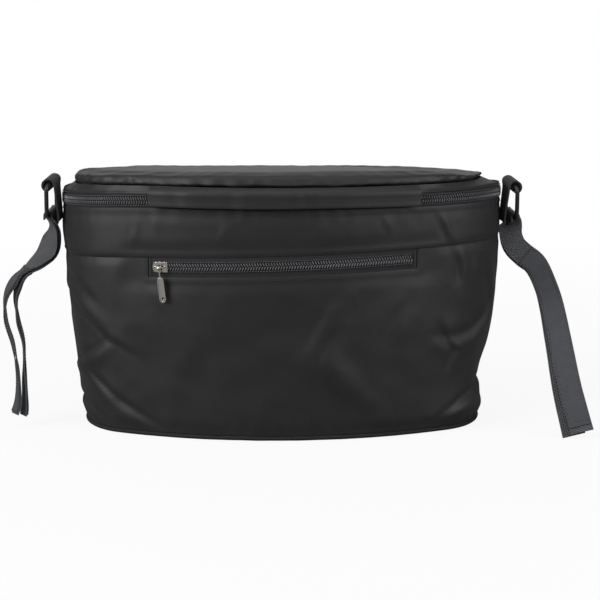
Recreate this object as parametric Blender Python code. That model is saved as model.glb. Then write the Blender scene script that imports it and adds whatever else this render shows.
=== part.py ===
# Stroller organizer: a soft zipped bag with a padded lid and two side straps.
# Metres, +Z up, front towards -Y, the origin on the floor under the middle of the base.
import bpy
import bmesh
from math import cos, sin, tan, radians, pi, sqrt, atan2
from mathutils import Vector, Matrix

# Plan outline at the zip
WIDTH = 0.370
FRONT_REACH = 0.077
BACK_REACH = 0.077
FRONT_RADIUS = 0.308
CORNER_RADIUS = 0.082
BACK_CORNER_RADIUS = 0.042

# How far the walls lean in at the base, and how fast
FRONT_TAPER = 0.0085
SIDE_TAPER = 0.0175
BACK_TAPER = 0.0045
TAPER_POWER = 1.6

# Heights
ZIP_HEIGHT = 0.1959
ZIP_HALF_WINDOW = 0.0058
GUSSET_HEIGHT = 0.0052
PAD_THICKNESS = 0.0108
PAD_BACK_DROP = 0.0075
PAD_EDGE_ROUND = 0.0050

# Sheet and layer thicknesses
SEAM_GAP = 0.0003
FABRIC = 0.0008
TAPE = 0.0005
LINING = 0.0005
FOAM = 0.0030
BASE_FABRIC = 0.0012
BASE_BOARD = 0.0020
FLOOR_LINING = 0.0006
PIPING_RADIUS = 0.0020
PIPING_CLEARANCE = 0.0010
BINDING_HEIGHT = 0.0020

# Coil zips, each half of a chain
COIL_WIDTH = 0.0023
COIL_PROUD = 0.0014
CHAIN_GAP = 0.0014
TAPE_TUCK = 0.0080

# Front pocket
POCKET_ZIP_HEIGHT = 0.1455
POCKET_SLANT = radians(1.6)
POCKET_WINDOW_ABOVE = 0.0075
POCKET_WINDOW_BELOW = 0.0085
POCKET_LEFT = -0.1105
POCKET_RIGHT = 0.1075
POCKET_DEPTH = 0.120
POCKET_MARGIN = 0.014
END_BAR_WIDTH = 0.0030

# Storm flap
FLAP_HALF_WIDTH = 0.107
FLAP_DROP = 0.0170
FLAP_STANDOFF = 0.0056
FLAP_FABRIC = 0.0012

# Zip sliders and pulls
SLIDER_LENGTH = 0.0130
SLIDER_WIDTH = 0.0084
SLIDER_PLATE = 0.0010
SLIDER_CLEARANCE = 0.0003
SLIDER_POST = 0.0008
BRIDGE_SPAN = 0.0090
BRIDGE_WIDTH = 0.0012
BRIDGE_BAR = 0.0008
POCKET_BRIDGE_HEIGHT = 0.0030
MAIN_BRIDGE_HEIGHT = 0.0023
EYE_RADIUS = 0.0015
EYE_WIRE = 0.0007
PULL_LENGTH = 0.0285
PULL_WIDTH = 0.0056
PULL_NECK_LENGTH = 0.0055
PULL_NECK_WIDTH = 0.0011
PULL_THICKNESS = 0.0008
PULL_RIM = 0.0003
PULL_HOLE_RADIUS = 0.0010
PULL_LEAN = radians(6)
MAIN_PULL_LENGTH = 0.0210
MAIN_PULL_SLOT = 0.0054
MAIN_SLIDER_SPACING = 0.0085
POCKET_SLIDER_INSET = 0.0080

# Side loops, rings and straps
STRAP_WIDTH = 0.0190
STRAP_THICKNESS = 0.0013
LOOP_PLACE = 0.008
LOOP_STANDOFF = 0.0025
LOOP_FOOT = 0.034
LOOP_TUBE_RADIUS = 0.0042
RING_HEIGHT = 0.0265
RING_ROOM = 0.0008
RING_WIRE = 0.0019
RING_CORNER = 0.0040
STRAP_CLEARANCE = 0.0007
TAIL_SPREAD = 0.0009
TIP_SPREAD = 0.0022
LEFT_LOOP_HEIGHT = 0.2040
RIGHT_LOOP_HEIGHT = 0.2010
STRAP_LEAD = 0.010
TAPE_START = 0.36
HOOK_TAPE = 0.0007
TAPE_INSET = 0.0010

# Hinge at the back of the lid
HINGE_HALF_WIDTH = 0.140

# Points round the outline, shared by every layer so that the layers stay parallel
FRONT_STEPS = 8
CORNER_STEPS = 7
BACK_CORNER_STEPS = 6
END_MARGIN = 0.0010
LEVEL_MARGIN = 0.0060
WALL_LEVELS = [0.030, 0.070, 0.110, 0.145, 0.172]

# Values worked out from the sizes above
HALF_WIDTH = WIDTH / 2
FRONT_CENTRE_Y = FRONT_RADIUS - FRONT_REACH
CORNER_X = HALF_WIDTH - CORNER_RADIUS
CORNER_Y = FRONT_CENTRE_Y - sqrt((FRONT_RADIUS - CORNER_RADIUS) ** 2 - CORNER_X ** 2)
FRONT_ANGLE = atan2(CORNER_X, FRONT_CENTRE_Y - CORNER_Y)
BACK_CORNER_Y = BACK_REACH - BACK_CORNER_RADIUS
BACK_CORNER_X = HALF_WIDTH - BACK_CORNER_RADIUS
FRONT_RUN = FRONT_RADIUS * FRONT_ANGLE
CORNER_RUN = CORNER_RADIUS * (pi / 2 - FRONT_ANGLE)
SIDE_RUN = BACK_CORNER_Y - CORNER_Y
BACK_CORNER_RUN = BACK_CORNER_RADIUS * pi / 2
HALF_RUN = FRONT_RUN + CORNER_RUN + SIDE_RUN + BACK_CORNER_RUN + BACK_CORNER_X
HINGE_S = HALF_RUN - HINGE_HALF_WIDTH
WALL_BOTTOM = PIPING_RADIUS * 2 + SEAM_GAP * 2
WINDOW_BOTTOM = ZIP_HEIGHT - ZIP_HALF_WINDOW
WINDOW_TOP = ZIP_HEIGHT + ZIP_HALF_WINDOW
LID_SEAM = WINDOW_TOP + GUSSET_HEIGHT
TAPE_OUTER = FABRIC + SEAM_GAP
TAPE_INNER = TAPE_OUTER + TAPE
COIL_OUTER = TAPE_OUTER - SEAM_GAP - COIL_PROUD
COIL_INNER = TAPE_OUTER - SEAM_GAP
POCKET_LINING_OUTER = TAPE_INNER + SLIDER_PLATE + SLIDER_CLEARANCE * 2
FOAM_OUTER = POCKET_LINING_OUTER + LINING + SEAM_GAP
FOAM_INNER = FOAM_OUTER + FOAM
WALL_LINING_OUTER = FOAM_INNER + SEAM_GAP
WALL_LINING_INNER = WALL_LINING_OUTER + LINING
FOAM_TOP = WINDOW_BOTTOM - BINDING_HEIGHT - SEAM_GAP * 3
POCKET_SLOPE = tan(POCKET_SLANT)
RING_SPAN = STRAP_WIDTH + RING_WIRE * 2 + RING_ROOM * 2


def rim(s):
    """Point, outward normal and taper of the plan outline at run s from the front centre, + to the right."""
    side = 1 if s >= 0 else -1
    run = abs(s)
    if run <= FRONT_RUN:
        turn = run / FRONT_RADIUS
        point = (FRONT_RADIUS * sin(turn), FRONT_CENTRE_Y - FRONT_RADIUS * cos(turn))
        taper = FRONT_TAPER
    elif run <= FRONT_RUN + CORNER_RUN:
        turn = FRONT_ANGLE + (run - FRONT_RUN) / CORNER_RADIUS
        point = (CORNER_X + CORNER_RADIUS * sin(turn), CORNER_Y - CORNER_RADIUS * cos(turn))
        taper = ease(FRONT_TAPER, SIDE_TAPER, (run - FRONT_RUN) / CORNER_RUN)
    elif run <= FRONT_RUN + CORNER_RUN + SIDE_RUN:
        turn = pi / 2
        along = run - FRONT_RUN - CORNER_RUN
        point = (HALF_WIDTH, CORNER_Y + along)
        taper = ease(SIDE_TAPER, BACK_TAPER, along / (SIDE_RUN + BACK_CORNER_RUN))
    elif run <= HALF_RUN - BACK_CORNER_X:
        along = run - FRONT_RUN - CORNER_RUN - SIDE_RUN
        turn = pi / 2 + along / BACK_CORNER_RADIUS
        point = (BACK_CORNER_X + BACK_CORNER_RADIUS * sin(turn),
                 BACK_CORNER_Y - BACK_CORNER_RADIUS * cos(turn))
        taper = ease(SIDE_TAPER, BACK_TAPER, (SIDE_RUN + along) / (SIDE_RUN + BACK_CORNER_RUN))
    else:
        turn = pi
        point = (HALF_RUN - run, BACK_REACH)
        taper = BACK_TAPER
    return point[0] * side, point[1], sin(turn) * side, -cos(turn), taper


def ease(first, second, share):
    """Smooth change from one value to another."""
    return first + (second - first) * share * share * (3 - 2 * share)


def wall_point(s, height, offset):
    """Point of the wall at run s and height, offset inwards from the outer face."""
    x, y, nx, ny, taper = rim(s)
    lean = taper * max(0.0, 1 - height / ZIP_HEIGHT) ** TAPER_POWER
    return Vector((x - nx * (lean + offset), y - ny * (lean + offset), height))


def run_at(x):
    """Run along the front arc at which the outline stands at x."""
    return FRONT_RADIUS * atan2(x, sqrt(FRONT_RADIUS ** 2 - x ** 2))


def half_runs():
    """Runs of the shared points from the front centre to the back centre."""
    runs = [FRONT_RUN * i / FRONT_STEPS for i in range(FRONT_STEPS)]
    runs += [FRONT_RUN + CORNER_RUN * i / CORNER_STEPS for i in range(CORNER_STEPS + 1)]
    back = FRONT_RUN + CORNER_RUN + SIDE_RUN
    runs += [back + BACK_CORNER_RUN * i / BACK_CORNER_STEPS for i in range(BACK_CORNER_STEPS + 1)]
    return runs


def ring_runs():
    """Runs of the shared points all the way round, each once."""
    half = half_runs()
    return [-s for s in reversed(half[1:])] + half


def between(first, last):
    """First and last run with the shared points between them; past the back centre the run starts again."""
    whole = ring_runs()
    whole = whole + [s + 2 * HALF_RUN for s in whole]
    inner = [s for s in whole if first + END_MARGIN < s < last - END_MARGIN]
    return [s if s <= HALF_RUN else s - 2 * HALF_RUN for s in [first] + inner + [last]]


def levels(low, high):
    """Low and high ends of a wall sheet with the shared levels between them."""
    bottom = low(0) if callable(low) else low
    top = high(0) if callable(high) else high
    return [low] + [h for h in WALL_LEVELS if bottom + LEVEL_MARGIN < h < top - LEVEL_MARGIN] + [high]


def material(name, colour, roughness, metallic=0.0):
    """Principled material of one sub-part."""
    made = bpy.data.materials.new(name)
    made.use_nodes = True
    shader = made.node_tree.nodes["Principled BSDF"]
    shader.inputs["Base Color"].default_value = (*colour, 1)
    shader.inputs["Roughness"].default_value = roughness
    shader.inputs["Metallic"].default_value = metallic
    return made


FINISHES = {
    "fabric": ((0.022, 0.022, 0.024), 0.8, 0.0),
    "lining": ((0.050, 0.050, 0.055), 0.7, 0.0),
    "webbing": ((0.035, 0.036, 0.040), 0.75, 0.0),
    "foam": ((0.120, 0.120, 0.125), 0.9, 0.0),
    "coil": ((0.018, 0.018, 0.020), 0.4, 0.0),
    "board": ((0.070, 0.070, 0.070), 0.6, 0.0),
    "moulded": ((0.020, 0.020, 0.022), 0.35, 0.0),
    "nickel": ((0.560, 0.550, 0.530), 0.3, 1.0),
}


def put(name, mesh_edit, finish, smooth=True):
    """Object from a bmesh, closed and pointing out, with its own material."""
    bmesh.ops.remove_doubles(mesh_edit, verts=mesh_edit.verts, dist=1e-6)
    bmesh.ops.recalc_face_normals(mesh_edit, faces=mesh_edit.faces)
    mesh = bpy.data.meshes.new(name)
    mesh_edit.to_mesh(mesh)
    mesh_edit.free()
    if smooth:
        mesh.shade_smooth()
        mesh.set_sharp_from_angle(angle=radians(35))
    thing = bpy.data.objects.new(name, mesh)
    bpy.context.scene.collection.objects.link(thing)
    mesh.materials.append(material(name + "_finish", *FINISHES[finish]))
    return thing


def skin(name, stations, rows, finish, closed=False, window=None):
    """Closed sheet that follows the wall, split along the same diagonals in every layer.

    Each row gives a height, or a function of x, and the sheet's outer and inner offsets there.
    A window leaves out the cells for which window(station, row) is true.
    """
    bm = bmesh.new()
    outer, inner = [], []
    for s in stations:
        x = rim(s)[0]
        heights = [row[0](x) if callable(row[0]) else row[0] for row in rows]
        outer.append([bm.verts.new(wall_point(s, h, row[1])) for h, row in zip(heights, rows)])
        inner.append([bm.verts.new(wall_point(s, h, row[2])) for h, row in zip(heights, rows)])
    columns = len(stations) if closed else len(stations) - 1

    def kept(i, j):
        if closed:
            i %= len(stations)
        inside = 0 <= i < columns and 0 <= j < len(rows) - 1
        return inside and not (window and window(i, j))

    for i in range(columns):
        k = (i + 1) % len(stations)
        for j in range(len(rows) - 1):
            if not kept(i, j):
                continue
            bm.faces.new((outer[i][j], outer[k][j], outer[k][j + 1]))
            bm.faces.new((outer[i][j], outer[k][j + 1], outer[i][j + 1]))
            bm.faces.new((inner[k][j + 1], inner[k][j], inner[i][j]))
            bm.faces.new((inner[i][j + 1], inner[k][j + 1], inner[i][j]))
            if not kept(i, j - 1):
                bm.faces.new((outer[i][j], inner[i][j], inner[k][j], outer[k][j]))
            if not kept(i, j + 1):
                bm.faces.new((outer[k][j + 1], inner[k][j + 1], inner[i][j + 1], outer[i][j + 1]))
            if not kept(i - 1, j):
                bm.faces.new((outer[i][j + 1], inner[i][j + 1], inner[i][j], outer[i][j]))
            if not kept(i + 1, j):
                bm.faces.new((outer[k][j], inner[k][j], inner[k][j + 1], outer[k][j + 1]))
    for loose in [v for v in bm.verts if not v.link_faces]:
        bm.verts.remove(loose)
    return put(name, bm, finish)


def stack(name, rows, finish, inner_rows=None, place=wall_point):
    """Plate or cap: rings of the outline stacked by (height, inset), with flat ends.

    With inner rows it is a shell, open below, whose inner face they give.
    """
    bm = bmesh.new()
    runs = ring_runs()

    def ring(height, inset):
        return [bm.verts.new(place(s, height, inset)) for s in runs]

    def join(lower, upper):
        for i in range(len(runs)):
            k = (i + 1) % len(runs)
            bm.faces.new((lower[i], lower[k], upper[k], upper[i]))

    rings = [ring(*row) for row in rows]
    for lower, upper in zip(rings, rings[1:]):
        join(lower, upper)
    bm.faces.new(rings[-1])
    if inner_rows:
        inner = [ring(*row) for row in inner_rows]
        for lower, upper in zip(inner, inner[1:]):
            join(upper, lower)
        bm.faces.new(list(reversed(inner[-1])))
        join(inner[0], rings[0])
    else:
        bm.faces.new(list(reversed(rings[0])))
    return put(name, bm, finish)


def sweep(name, path, sides, section, finish, closed=False, outs=None):
    """Section of (across, out) points carried along a path; across follows the side vectors.

    With outs, both vectors are taken as they are.
    """
    bm = bmesh.new()
    loops = []
    for i, point in enumerate(path):
        before = path[i - 1] if i or closed else path[0]
        after = path[(i + 1) % len(path)] if closed or i + 1 < len(path) else path[i]
        along = (after - before).normalized()
        across = (sides[i] - along * sides[i].dot(along)).normalized()
        out = along.cross(across)
        if outs:
            across, out = sides[i], outs[i]
        loops.append([bm.verts.new(point + across * a + out * b) for a, b in section])
    pairs = list(zip(loops, loops[1:])) + ([(loops[-1], loops[0])] if closed else [])
    for first, second in pairs:
        for i in range(len(section)):
            k = (i + 1) % len(section)
            bm.faces.new((first[i], first[k], second[k], second[i]))
    if not closed:
        bm.faces.new(list(reversed(loops[0])))
        bm.faces.new(loops[-1])
    return put(name, bm, finish)


def round_section(radius, sides=7):
    """Circle of points for a round bar or cord."""
    return [(radius * cos(2 * pi * i / sides), radius * sin(2 * pi * i / sides)) for i in range(sides)]


def flat_section(width, thickness):
    """Rectangle for webbing or tape."""
    return [(-width / 2, -thickness / 2), (width / 2, -thickness / 2),
            (width / 2, thickness / 2), (-width / 2, thickness / 2)]


def smooth_path(points, per_span):
    """Catmull-Rom curve through a few vectors."""
    result = []
    for i in range(len(points) - 1):
        p0 = points[max(i - 1, 0)]
        p1, p2 = points[i], points[i + 1]
        p3 = points[min(i + 2, len(points) - 1)]
        for j in range(per_span):
            t = j / per_span
            result.append(0.5 * (2 * p1 + (p2 - p0) * t + (2 * p0 - 5 * p1 + 4 * p2 - p3) * t * t
                                 + (3 * p1 - p0 - 3 * p2 + p3) * t * t * t))
    return result + [points[-1].copy()]


# Base, walls and pocket

def pocket_zip(x):
    """Height of the slanted pocket zip's centre line at x."""
    return POCKET_ZIP_HEIGHT + x * POCKET_SLOPE


def pocket_level(rise):
    """Height function a given rise above the pocket zip's centre line."""
    return lambda x: pocket_zip(x) + rise


def make_base():
    """Base fabric, its stiff board, the lining on it and the piping round it."""
    edge = PIPING_RADIUS + PIPING_CLEARANCE
    stack("base_panel", [(0, edge), (BASE_FABRIC, edge)], "fabric", place=base_point)
    board = BASE_FABRIC + SEAM_GAP
    stack("base_board", [(board, edge), (board + BASE_BOARD, edge)], "board", place=base_point)
    lining = board + BASE_BOARD + SEAM_GAP
    stack("floor_lining", [(lining, edge), (lining + FLOOR_LINING, edge)], "lining", place=base_point)
    runs = ring_runs()
    path = [base_point(s, PIPING_RADIUS + SEAM_GAP, 0) for s in runs]
    sides = [Vector((0, 0, 1)) for s in runs]
    sweep("bottom_piping", path, sides, round_section(PIPING_RADIUS), "fabric", closed=True)


def base_point(s, height, inset):
    """Point of the base outline, which does not lean."""
    point = wall_point(s, 0, inset)
    point.z = height
    return point


def make_walls():
    """Outer panels, foam and lining of the standing walls."""
    left, right = run_at(POCKET_LEFT), run_at(POCKET_RIGHT)
    outer = between(-HINGE_S, left) + between(left, right)[1:] + between(right, HINGE_S)[1:]

    def shell_rows(*heights):
        return [(h, 0, FABRIC) for h in heights]

    skin("front_upper_panel", outer,
         shell_rows(*levels(pocket_level(POCKET_WINDOW_ABOVE + SEAM_GAP / 2), WINDOW_BOTTOM)), "fabric")
    low = levels(WALL_BOTTOM, pocket_level(-POCKET_WINDOW_BELOW))
    low.append(pocket_level(POCKET_WINDOW_ABOVE - SEAM_GAP / 2))
    skin("front_pocket_panel", outer, shell_rows(*low), "fabric",
         window=lambda i, j: j == len(low) - 2 and left - END_MARGIN < outer[i] < right - END_MARGIN)
    back = between(HINGE_S + SEAM_GAP, 2 * HALF_RUN - HINGE_S - SEAM_GAP)
    strip = ZIP_HEIGHT - TAPE_TUCK * 1.3
    skin("back_panel", back, shell_rows(*levels(WALL_BOTTOM, strip - SEAM_GAP)), "fabric")
    skin("hinge_strip_lower", back, shell_rows(strip, ZIP_HEIGHT - SEAM_GAP / 2), "webbing")
    skin("hinge_strip_upper", back, shell_rows(ZIP_HEIGHT + SEAM_GAP / 2, LID_SEAM - SEAM_GAP), "webbing")
    ring = ring_runs()
    inner_levels = levels(WALL_BOTTOM, FOAM_TOP)
    skin("wall_foam", ring, [(h, FOAM_OUTER, FOAM_INNER) for h in inner_levels], "foam", closed=True)
    skin("wall_lining", ring, [(h, WALL_LINING_OUTER, WALL_LINING_INNER) for h in inner_levels],
         "lining", closed=True)
    binding = FOAM_TOP + SEAM_GAP
    skin("rim_binding", ring, [(h, POCKET_LINING_OUTER, WALL_LINING_INNER + SEAM_GAP)
                               for h in (binding, binding + BINDING_HEIGHT)], "lining", closed=True)


def make_pocket():
    """Flat pocket bag behind the front panel, with its zip in the window."""
    left, right = run_at(POCKET_LEFT), run_at(POCKET_RIGHT)
    bag = between(left - POCKET_MARGIN, right + POCKET_MARGIN)
    floor = POCKET_ZIP_HEIGHT - POCKET_DEPTH
    top = POCKET_WINDOW_ABOVE + TAPE_TUCK
    skin("pocket_lining", bag, [(h, POCKET_LINING_OUTER, POCKET_LINING_OUTER + LINING)
                                for h in levels(floor, pocket_level(top))], "lining")
    runs = between(left + SEAM_GAP, right - SEAM_GAP)
    half = CHAIN_GAP / 2
    for name, sign, edge in (("upper", 1, POCKET_WINDOW_ABOVE), ("lower", -1, POCKET_WINDOW_BELOW)):
        tape = sorted((sign * half, sign * (edge + TAPE_TUCK / 2)))
        rows = [(pocket_level(h), TAPE_OUTER, TAPE_INNER) for h in tape]
        skin(f"pocket_zip_{name}_tape", runs, rows, "webbing")
    coil_runs = between(left + END_BAR_WIDTH + SEAM_GAP * 2, right - END_BAR_WIDTH - SEAM_GAP * 2)
    for name, sign in (("upper", 1), ("lower", -1)):
        skin(f"pocket_zip_{name}_coil", coil_runs, coil_rows(pocket_level, sign), "coil")
    reach = (-POCKET_WINDOW_BELOW + SEAM_GAP, POCKET_WINDOW_ABOVE - SEAM_GAP)
    for name, start in (("left", left + SEAM_GAP), ("right", right - SEAM_GAP - END_BAR_WIDTH)):
        skin(f"pocket_end_bar_{name}", [start, start + END_BAR_WIDTH],
             [(pocket_level(h), -FABRIC / 2, FABRIC) for h in reach], "fabric")


def coil_rows(level, sign):
    """Rows of one half of a coil chain: a low rounded ridge on the face of its tape."""
    half = CHAIN_GAP / 2
    profile = [(0.0, 0.35), (0.22, 0.95), (0.55, 1.0), (0.85, 0.75), (1.0, 0.20)]
    rows = [(half + COIL_WIDTH * across, COIL_INNER - COIL_PROUD * rise) for across, rise in profile]
    rows = [(level(sign * across), outer, COIL_INNER) for across, outer in rows]
    return rows if sign > 0 else rows[::-1]


def make_main_zip():
    """Tapes and coils of the long zip round the front and sides."""
    runs = between(-HINGE_S, HINGE_S)

    def level(rise):
        return ZIP_HEIGHT + rise

    half = CHAIN_GAP / 2
    lower = [(level(h), TAPE_OUTER, TAPE_INNER) for h in (-ZIP_HALF_WINDOW - TAPE_TUCK, -half)]
    upper = [(level(h), TAPE_OUTER, TAPE_INNER) for h in (half, ZIP_HALF_WINDOW + TAPE_TUCK / 4)]
    skin("main_zip_lower_tape", runs, lower, "webbing")
    skin("main_zip_upper_tape", runs, upper, "webbing")
    skin("main_zip_lower_coil", runs, coil_rows(level, -1), "coil")
    skin("main_zip_upper_coil", runs, coil_rows(level, 1), "coil")
    skin("lid_gusset", runs, [(h, 0, FABRIC) for h in (WINDOW_TOP, LID_SEAM - SEAM_GAP)], "fabric")


# Lid

def lid_point(s, height, inset):
    """Point of the lid, whose top falls towards the back."""
    point = wall_point(s, height, inset)
    share = max(0.0, (height - LID_SEAM) / PAD_THICKNESS)
    point.z -= PAD_BACK_DROP * share * (point.y + FRONT_REACH) / (FRONT_REACH + BACK_REACH)
    return point


def pad_rows(shrink):
    """Rounded edge of the pad, drawn in all round by shrink."""
    top = LID_SEAM + PAD_THICKNESS - shrink
    shoulder = top - PAD_EDGE_ROUND
    rows = []
    for i in range(5):
        turn = pi / 2 * i / 4
        rows.append((shoulder + PAD_EDGE_ROUND * sin(turn), shrink + PAD_EDGE_ROUND * (1 - cos(turn))))
    return rows


def make_lid():
    """Fabric cover of the raised pad, the foam in it, the lining under it and the flap in front."""
    seam = LID_SEAM + SEAM_GAP
    skirt = TAPE_INNER + SEAM_GAP
    cover_inner = [(seam, FABRIC)] + pad_rows(FABRIC)
    stack("lid_cover", [(seam, 0)] + pad_rows(0), "fabric", inner_rows=cover_inner, place=lid_point)
    foam_gap = FABRIC + SEAM_GAP
    foam_bottom = seam - GUSSET_HEIGHT / 2
    stack("lid_foam", [(foam_bottom, skirt), (seam, skirt)] + pad_rows(foam_gap + SEAM_GAP * 3),
          "foam", place=lid_point)
    lining = foam_bottom - SEAM_GAP - LINING
    stack("lid_lining", [(lining, skirt), (lining + LINING, skirt)], "lining", place=lid_point)
    make_flap()


def make_flap():
    """Storm flap sewn into the lid's seam, standing off in front of the sliders."""
    runs = between(run_at(-FLAP_HALF_WIDTH), run_at(FLAP_HALF_WIDTH))
    top = LID_SEAM - SEAM_GAP
    bottom = LID_SEAM - FLAP_DROP
    profile = [(0.0, 1.0), (0.45, 1.0), (0.72, 0.92), (0.90, 0.55), (1.0, 0.0)]
    rows = []
    for share, stand in profile:
        inner = -SEAM_GAP - FLAP_STANDOFF * stand
        rows.append((bottom + (top - bottom) * share, inner - FLAP_FABRIC, inner))
    skin("storm_flap", runs, rows, "fabric")


# Zip sliders and pulls

def slider_outline():
    """Shield shape of a slider's plates: round at the nose, square at the mouth."""
    half = SLIDER_WIDTH / 2
    nose = half * 0.8
    points = [(-SLIDER_LENGTH / 2, -half), (-SLIDER_LENGTH / 2, half)]
    steps = 7
    for i in range(steps):
        turn = pi / 2 - pi * i / (steps - 1)
        points.append((SLIDER_LENGTH / 2 - nose + nose * cos(turn), half * sin(turn)))
    return points


def prism(outline, axis, near, far):
    """Solid of an outline drawn square to an axis (0 x, 1 y, 2 z), between two places on it."""
    bm = bmesh.new()

    def corner(point, place):
        spot = list(point)
        spot.insert(axis, place)
        return bm.verts.new(spot)

    front = [corner(p, near) for p in outline]
    back = [corner(p, far) for p in outline]
    bm.faces.new(front)
    bm.faces.new(back[::-1])
    for i in range(len(outline)):
        k = (i + 1) % len(outline)
        bm.faces.new((front[i], back[i], back[k], front[k]))
    return bm


def join(name, parts, finish, take=None):
    """One closed body from overlapping closed pieces, less the piece to take away, if any."""
    body = put(name, parts[0], finish)
    others = [(put(f"{name}_{i}", bm, finish), "UNION") for i, bm in enumerate(parts[1:])]
    if take:
        others.append((put(f"{name}_cut", take, finish), "DIFFERENCE"))
    for other, operation in others:
        joiner = body.modifiers.new("join", "BOOLEAN")
        joiner.operation = operation
        joiner.solver = "EXACT"
        joiner.object = other
    whole = bpy.data.meshes.new_from_object(body.evaluated_get(bpy.context.evaluated_depsgraph_get()))
    body.modifiers.clear()
    body.data = whole
    for other, operation in others:
        bpy.data.objects.remove(other)
    return body


def make_slider(name, flip, bridge_height):
    """Slider at the origin: nose along x, chain centred on z = 0, wall face at y = 0."""
    front = COIL_OUTER - SLIDER_CLEARANCE
    back = TAPE_INNER + SLIDER_CLEARANCE
    face = front - SLIDER_PLATE
    outline = [(x * flip, z) for x, z in slider_outline()]
    nose = SLIDER_LENGTH / 2 * flip
    wedge = [(nose * 0.30, -SLIDER_POST / 2), (nose * 0.62, -SLIDER_POST / 2),
             (nose * 0.62, SLIDER_POST / 2), (nose * 0.30, SLIDER_POST / 2)]
    end, crown, leg = BRIDGE_SPAN / 2, BRIDGE_SPAN / 3, BRIDGE_BAR * 1.1
    top, sink = face - bridge_height, face + SLIDER_PLATE / 2
    arch = [(-end, sink), (-end, face - bridge_height * 0.6), (-crown, top), (crown, top),
            (end, face - bridge_height * 0.6), (end, sink), (end - leg, sink),
            (end - leg, face - bridge_height * 0.5), (crown - leg / 3, top + BRIDGE_BAR),
            (-crown + leg / 3, top + BRIDGE_BAR), (-end + leg, face - bridge_height * 0.5),
            (-end + leg, sink)]
    parts = [prism(outline, 1, face, front), prism(outline, 1, back, back + SLIDER_PLATE),
             prism(wedge, 1, face + SLIDER_PLATE / 2, back + SLIDER_PLATE / 2),
             prism(arch, 2, -BRIDGE_WIDTH / 2, BRIDGE_WIDTH / 2)]
    return join(name, parts, "nickel")


def circle(radius, sides, across=0.0, along=0.0):
    """Points of a circle."""
    return [(across + radius * cos(2 * pi * i / sides), along + radius * sin(2 * pi * i / sides))
            for i in range(sides)]


def make_hanging_pull(name):
    """Pull that hangs from the bridge: a round eye edge-on, a thin neck and a flat tab with a rim."""
    eye = prism(circle(EYE_RADIUS + EYE_WIRE, 14), 0, -PULL_NECK_WIDTH / 2, PULL_NECK_WIDTH / 2)
    hole = prism(circle(EYE_RADIUS, 14), 0, -PULL_NECK_WIDTH, PULL_NECK_WIDTH)
    half, neck = PULL_WIDTH / 2, PULL_NECK_WIDTH / 2
    depth = PULL_THICKNESS / 2
    start = -EYE_RADIUS - EYE_WIRE / 2
    shoulder = start - PULL_NECK_LENGTH
    end = -PULL_LENGTH
    tab = [(-neck, start), (neck, start), (neck, shoulder), (half * 0.7, shoulder - 0.0012),
           (half, shoulder - 0.0030), (half, end + 0.0022), (half * 0.6, end + 0.0004), (0, end),
           (-half * 0.6, end + 0.0004), (-half, end + 0.0022), (-half, shoulder - 0.0030),
           (-half * 0.7, shoulder - 0.0012), (-neck, shoulder)]
    panel = [(x * 0.72, z) for x, z in tab[3:-1]]
    low, high = end + half * 0.28, shoulder - 0.0022
    panel = [(x, min(max(z, low), high)) for x, z in panel]
    plate = prism(tab, 1, -depth, depth)
    rim_plate = prism(tab[3:12], 1, -depth - PULL_RIM, depth)
    pull = join(name, [plate, eye, rim_plate], "nickel", take=hole)
    recess = put(name + "_recess", prism(panel, 1, -depth - PULL_RIM * 2, -depth), "nickel")
    bore = prism(circle(PULL_HOLE_RADIUS, 10, 0, end + 0.0034), 1, -0.003, 0.003)
    drill = put(name + "_drill", bore, "nickel")
    for cutter in (recess, drill):
        cut = pull.modifiers.new("cut", "BOOLEAN")
        cut.operation = "DIFFERENCE"
        cut.solver = "EXACT"
        cut.object = cutter
    whole = bpy.data.meshes.new_from_object(pull.evaluated_get(bpy.context.evaluated_depsgraph_get()))
    pull.modifiers.clear()
    pull.data = whole
    for cutter in (recess, drill):
        bpy.data.objects.remove(cutter)
    pull.data.transform(Matrix.Rotation(-PULL_LEAN, 4, "Y"))
    return pull


def make_flat_pull(name, side):
    """Pull that lies along the zip: a crossbar under the bridge, a slot round its leg and a flat tab."""
    half = PULL_WIDTH / 2
    depth = PULL_THICKNESS / 2
    bar = -PULL_THICKNESS * 0.6
    length = MAIN_PULL_LENGTH
    outline = [(bar, -half), (length * 0.40, -half), (length * 0.46, -half * 0.7),
               (length * 0.9, -half * 0.8), (length, -half * 0.4), (length, half * 0.4),
               (length * 0.9, half * 0.8), (length * 0.46, half * 0.7), (length * 0.40, half), (bar, half)]
    gap = half - PULL_THICKNESS * 1.2
    slot = [(-bar, -gap), (MAIN_PULL_SLOT, -gap), (MAIN_PULL_SLOT, gap), (-bar, gap)]
    plate = prism([(x * side, z) for x, z in outline], 1, -depth, depth)
    window = prism([(x * side, z) for x, z in slot], 1, -depth * 2, depth * 2)
    return join(name, [plate], "nickel", take=window)


def place_on_zip(thing, run, height, slope, depth=0.0, along=0.0):
    """Set a piece modelled at the origin onto the wall at a run, its x along the zip."""
    x, y, nx, ny, taper = rim(run)
    travel = Vector((-ny, nx, slope * -ny)).normalized()
    outward = Vector((nx, ny, 0)).normalized()
    up = travel.cross(-outward).normalized()
    spot = wall_point(run, height, 0) + travel * along - outward * depth
    thing.matrix_world = Matrix.Translation(spot) @ Matrix((travel, -outward, up)).transposed().to_4x4()


def slider_face():
    """Depth of a slider's front face, negative in front of the wall."""
    return COIL_OUTER - SLIDER_CLEARANCE - SLIDER_PLATE


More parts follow.
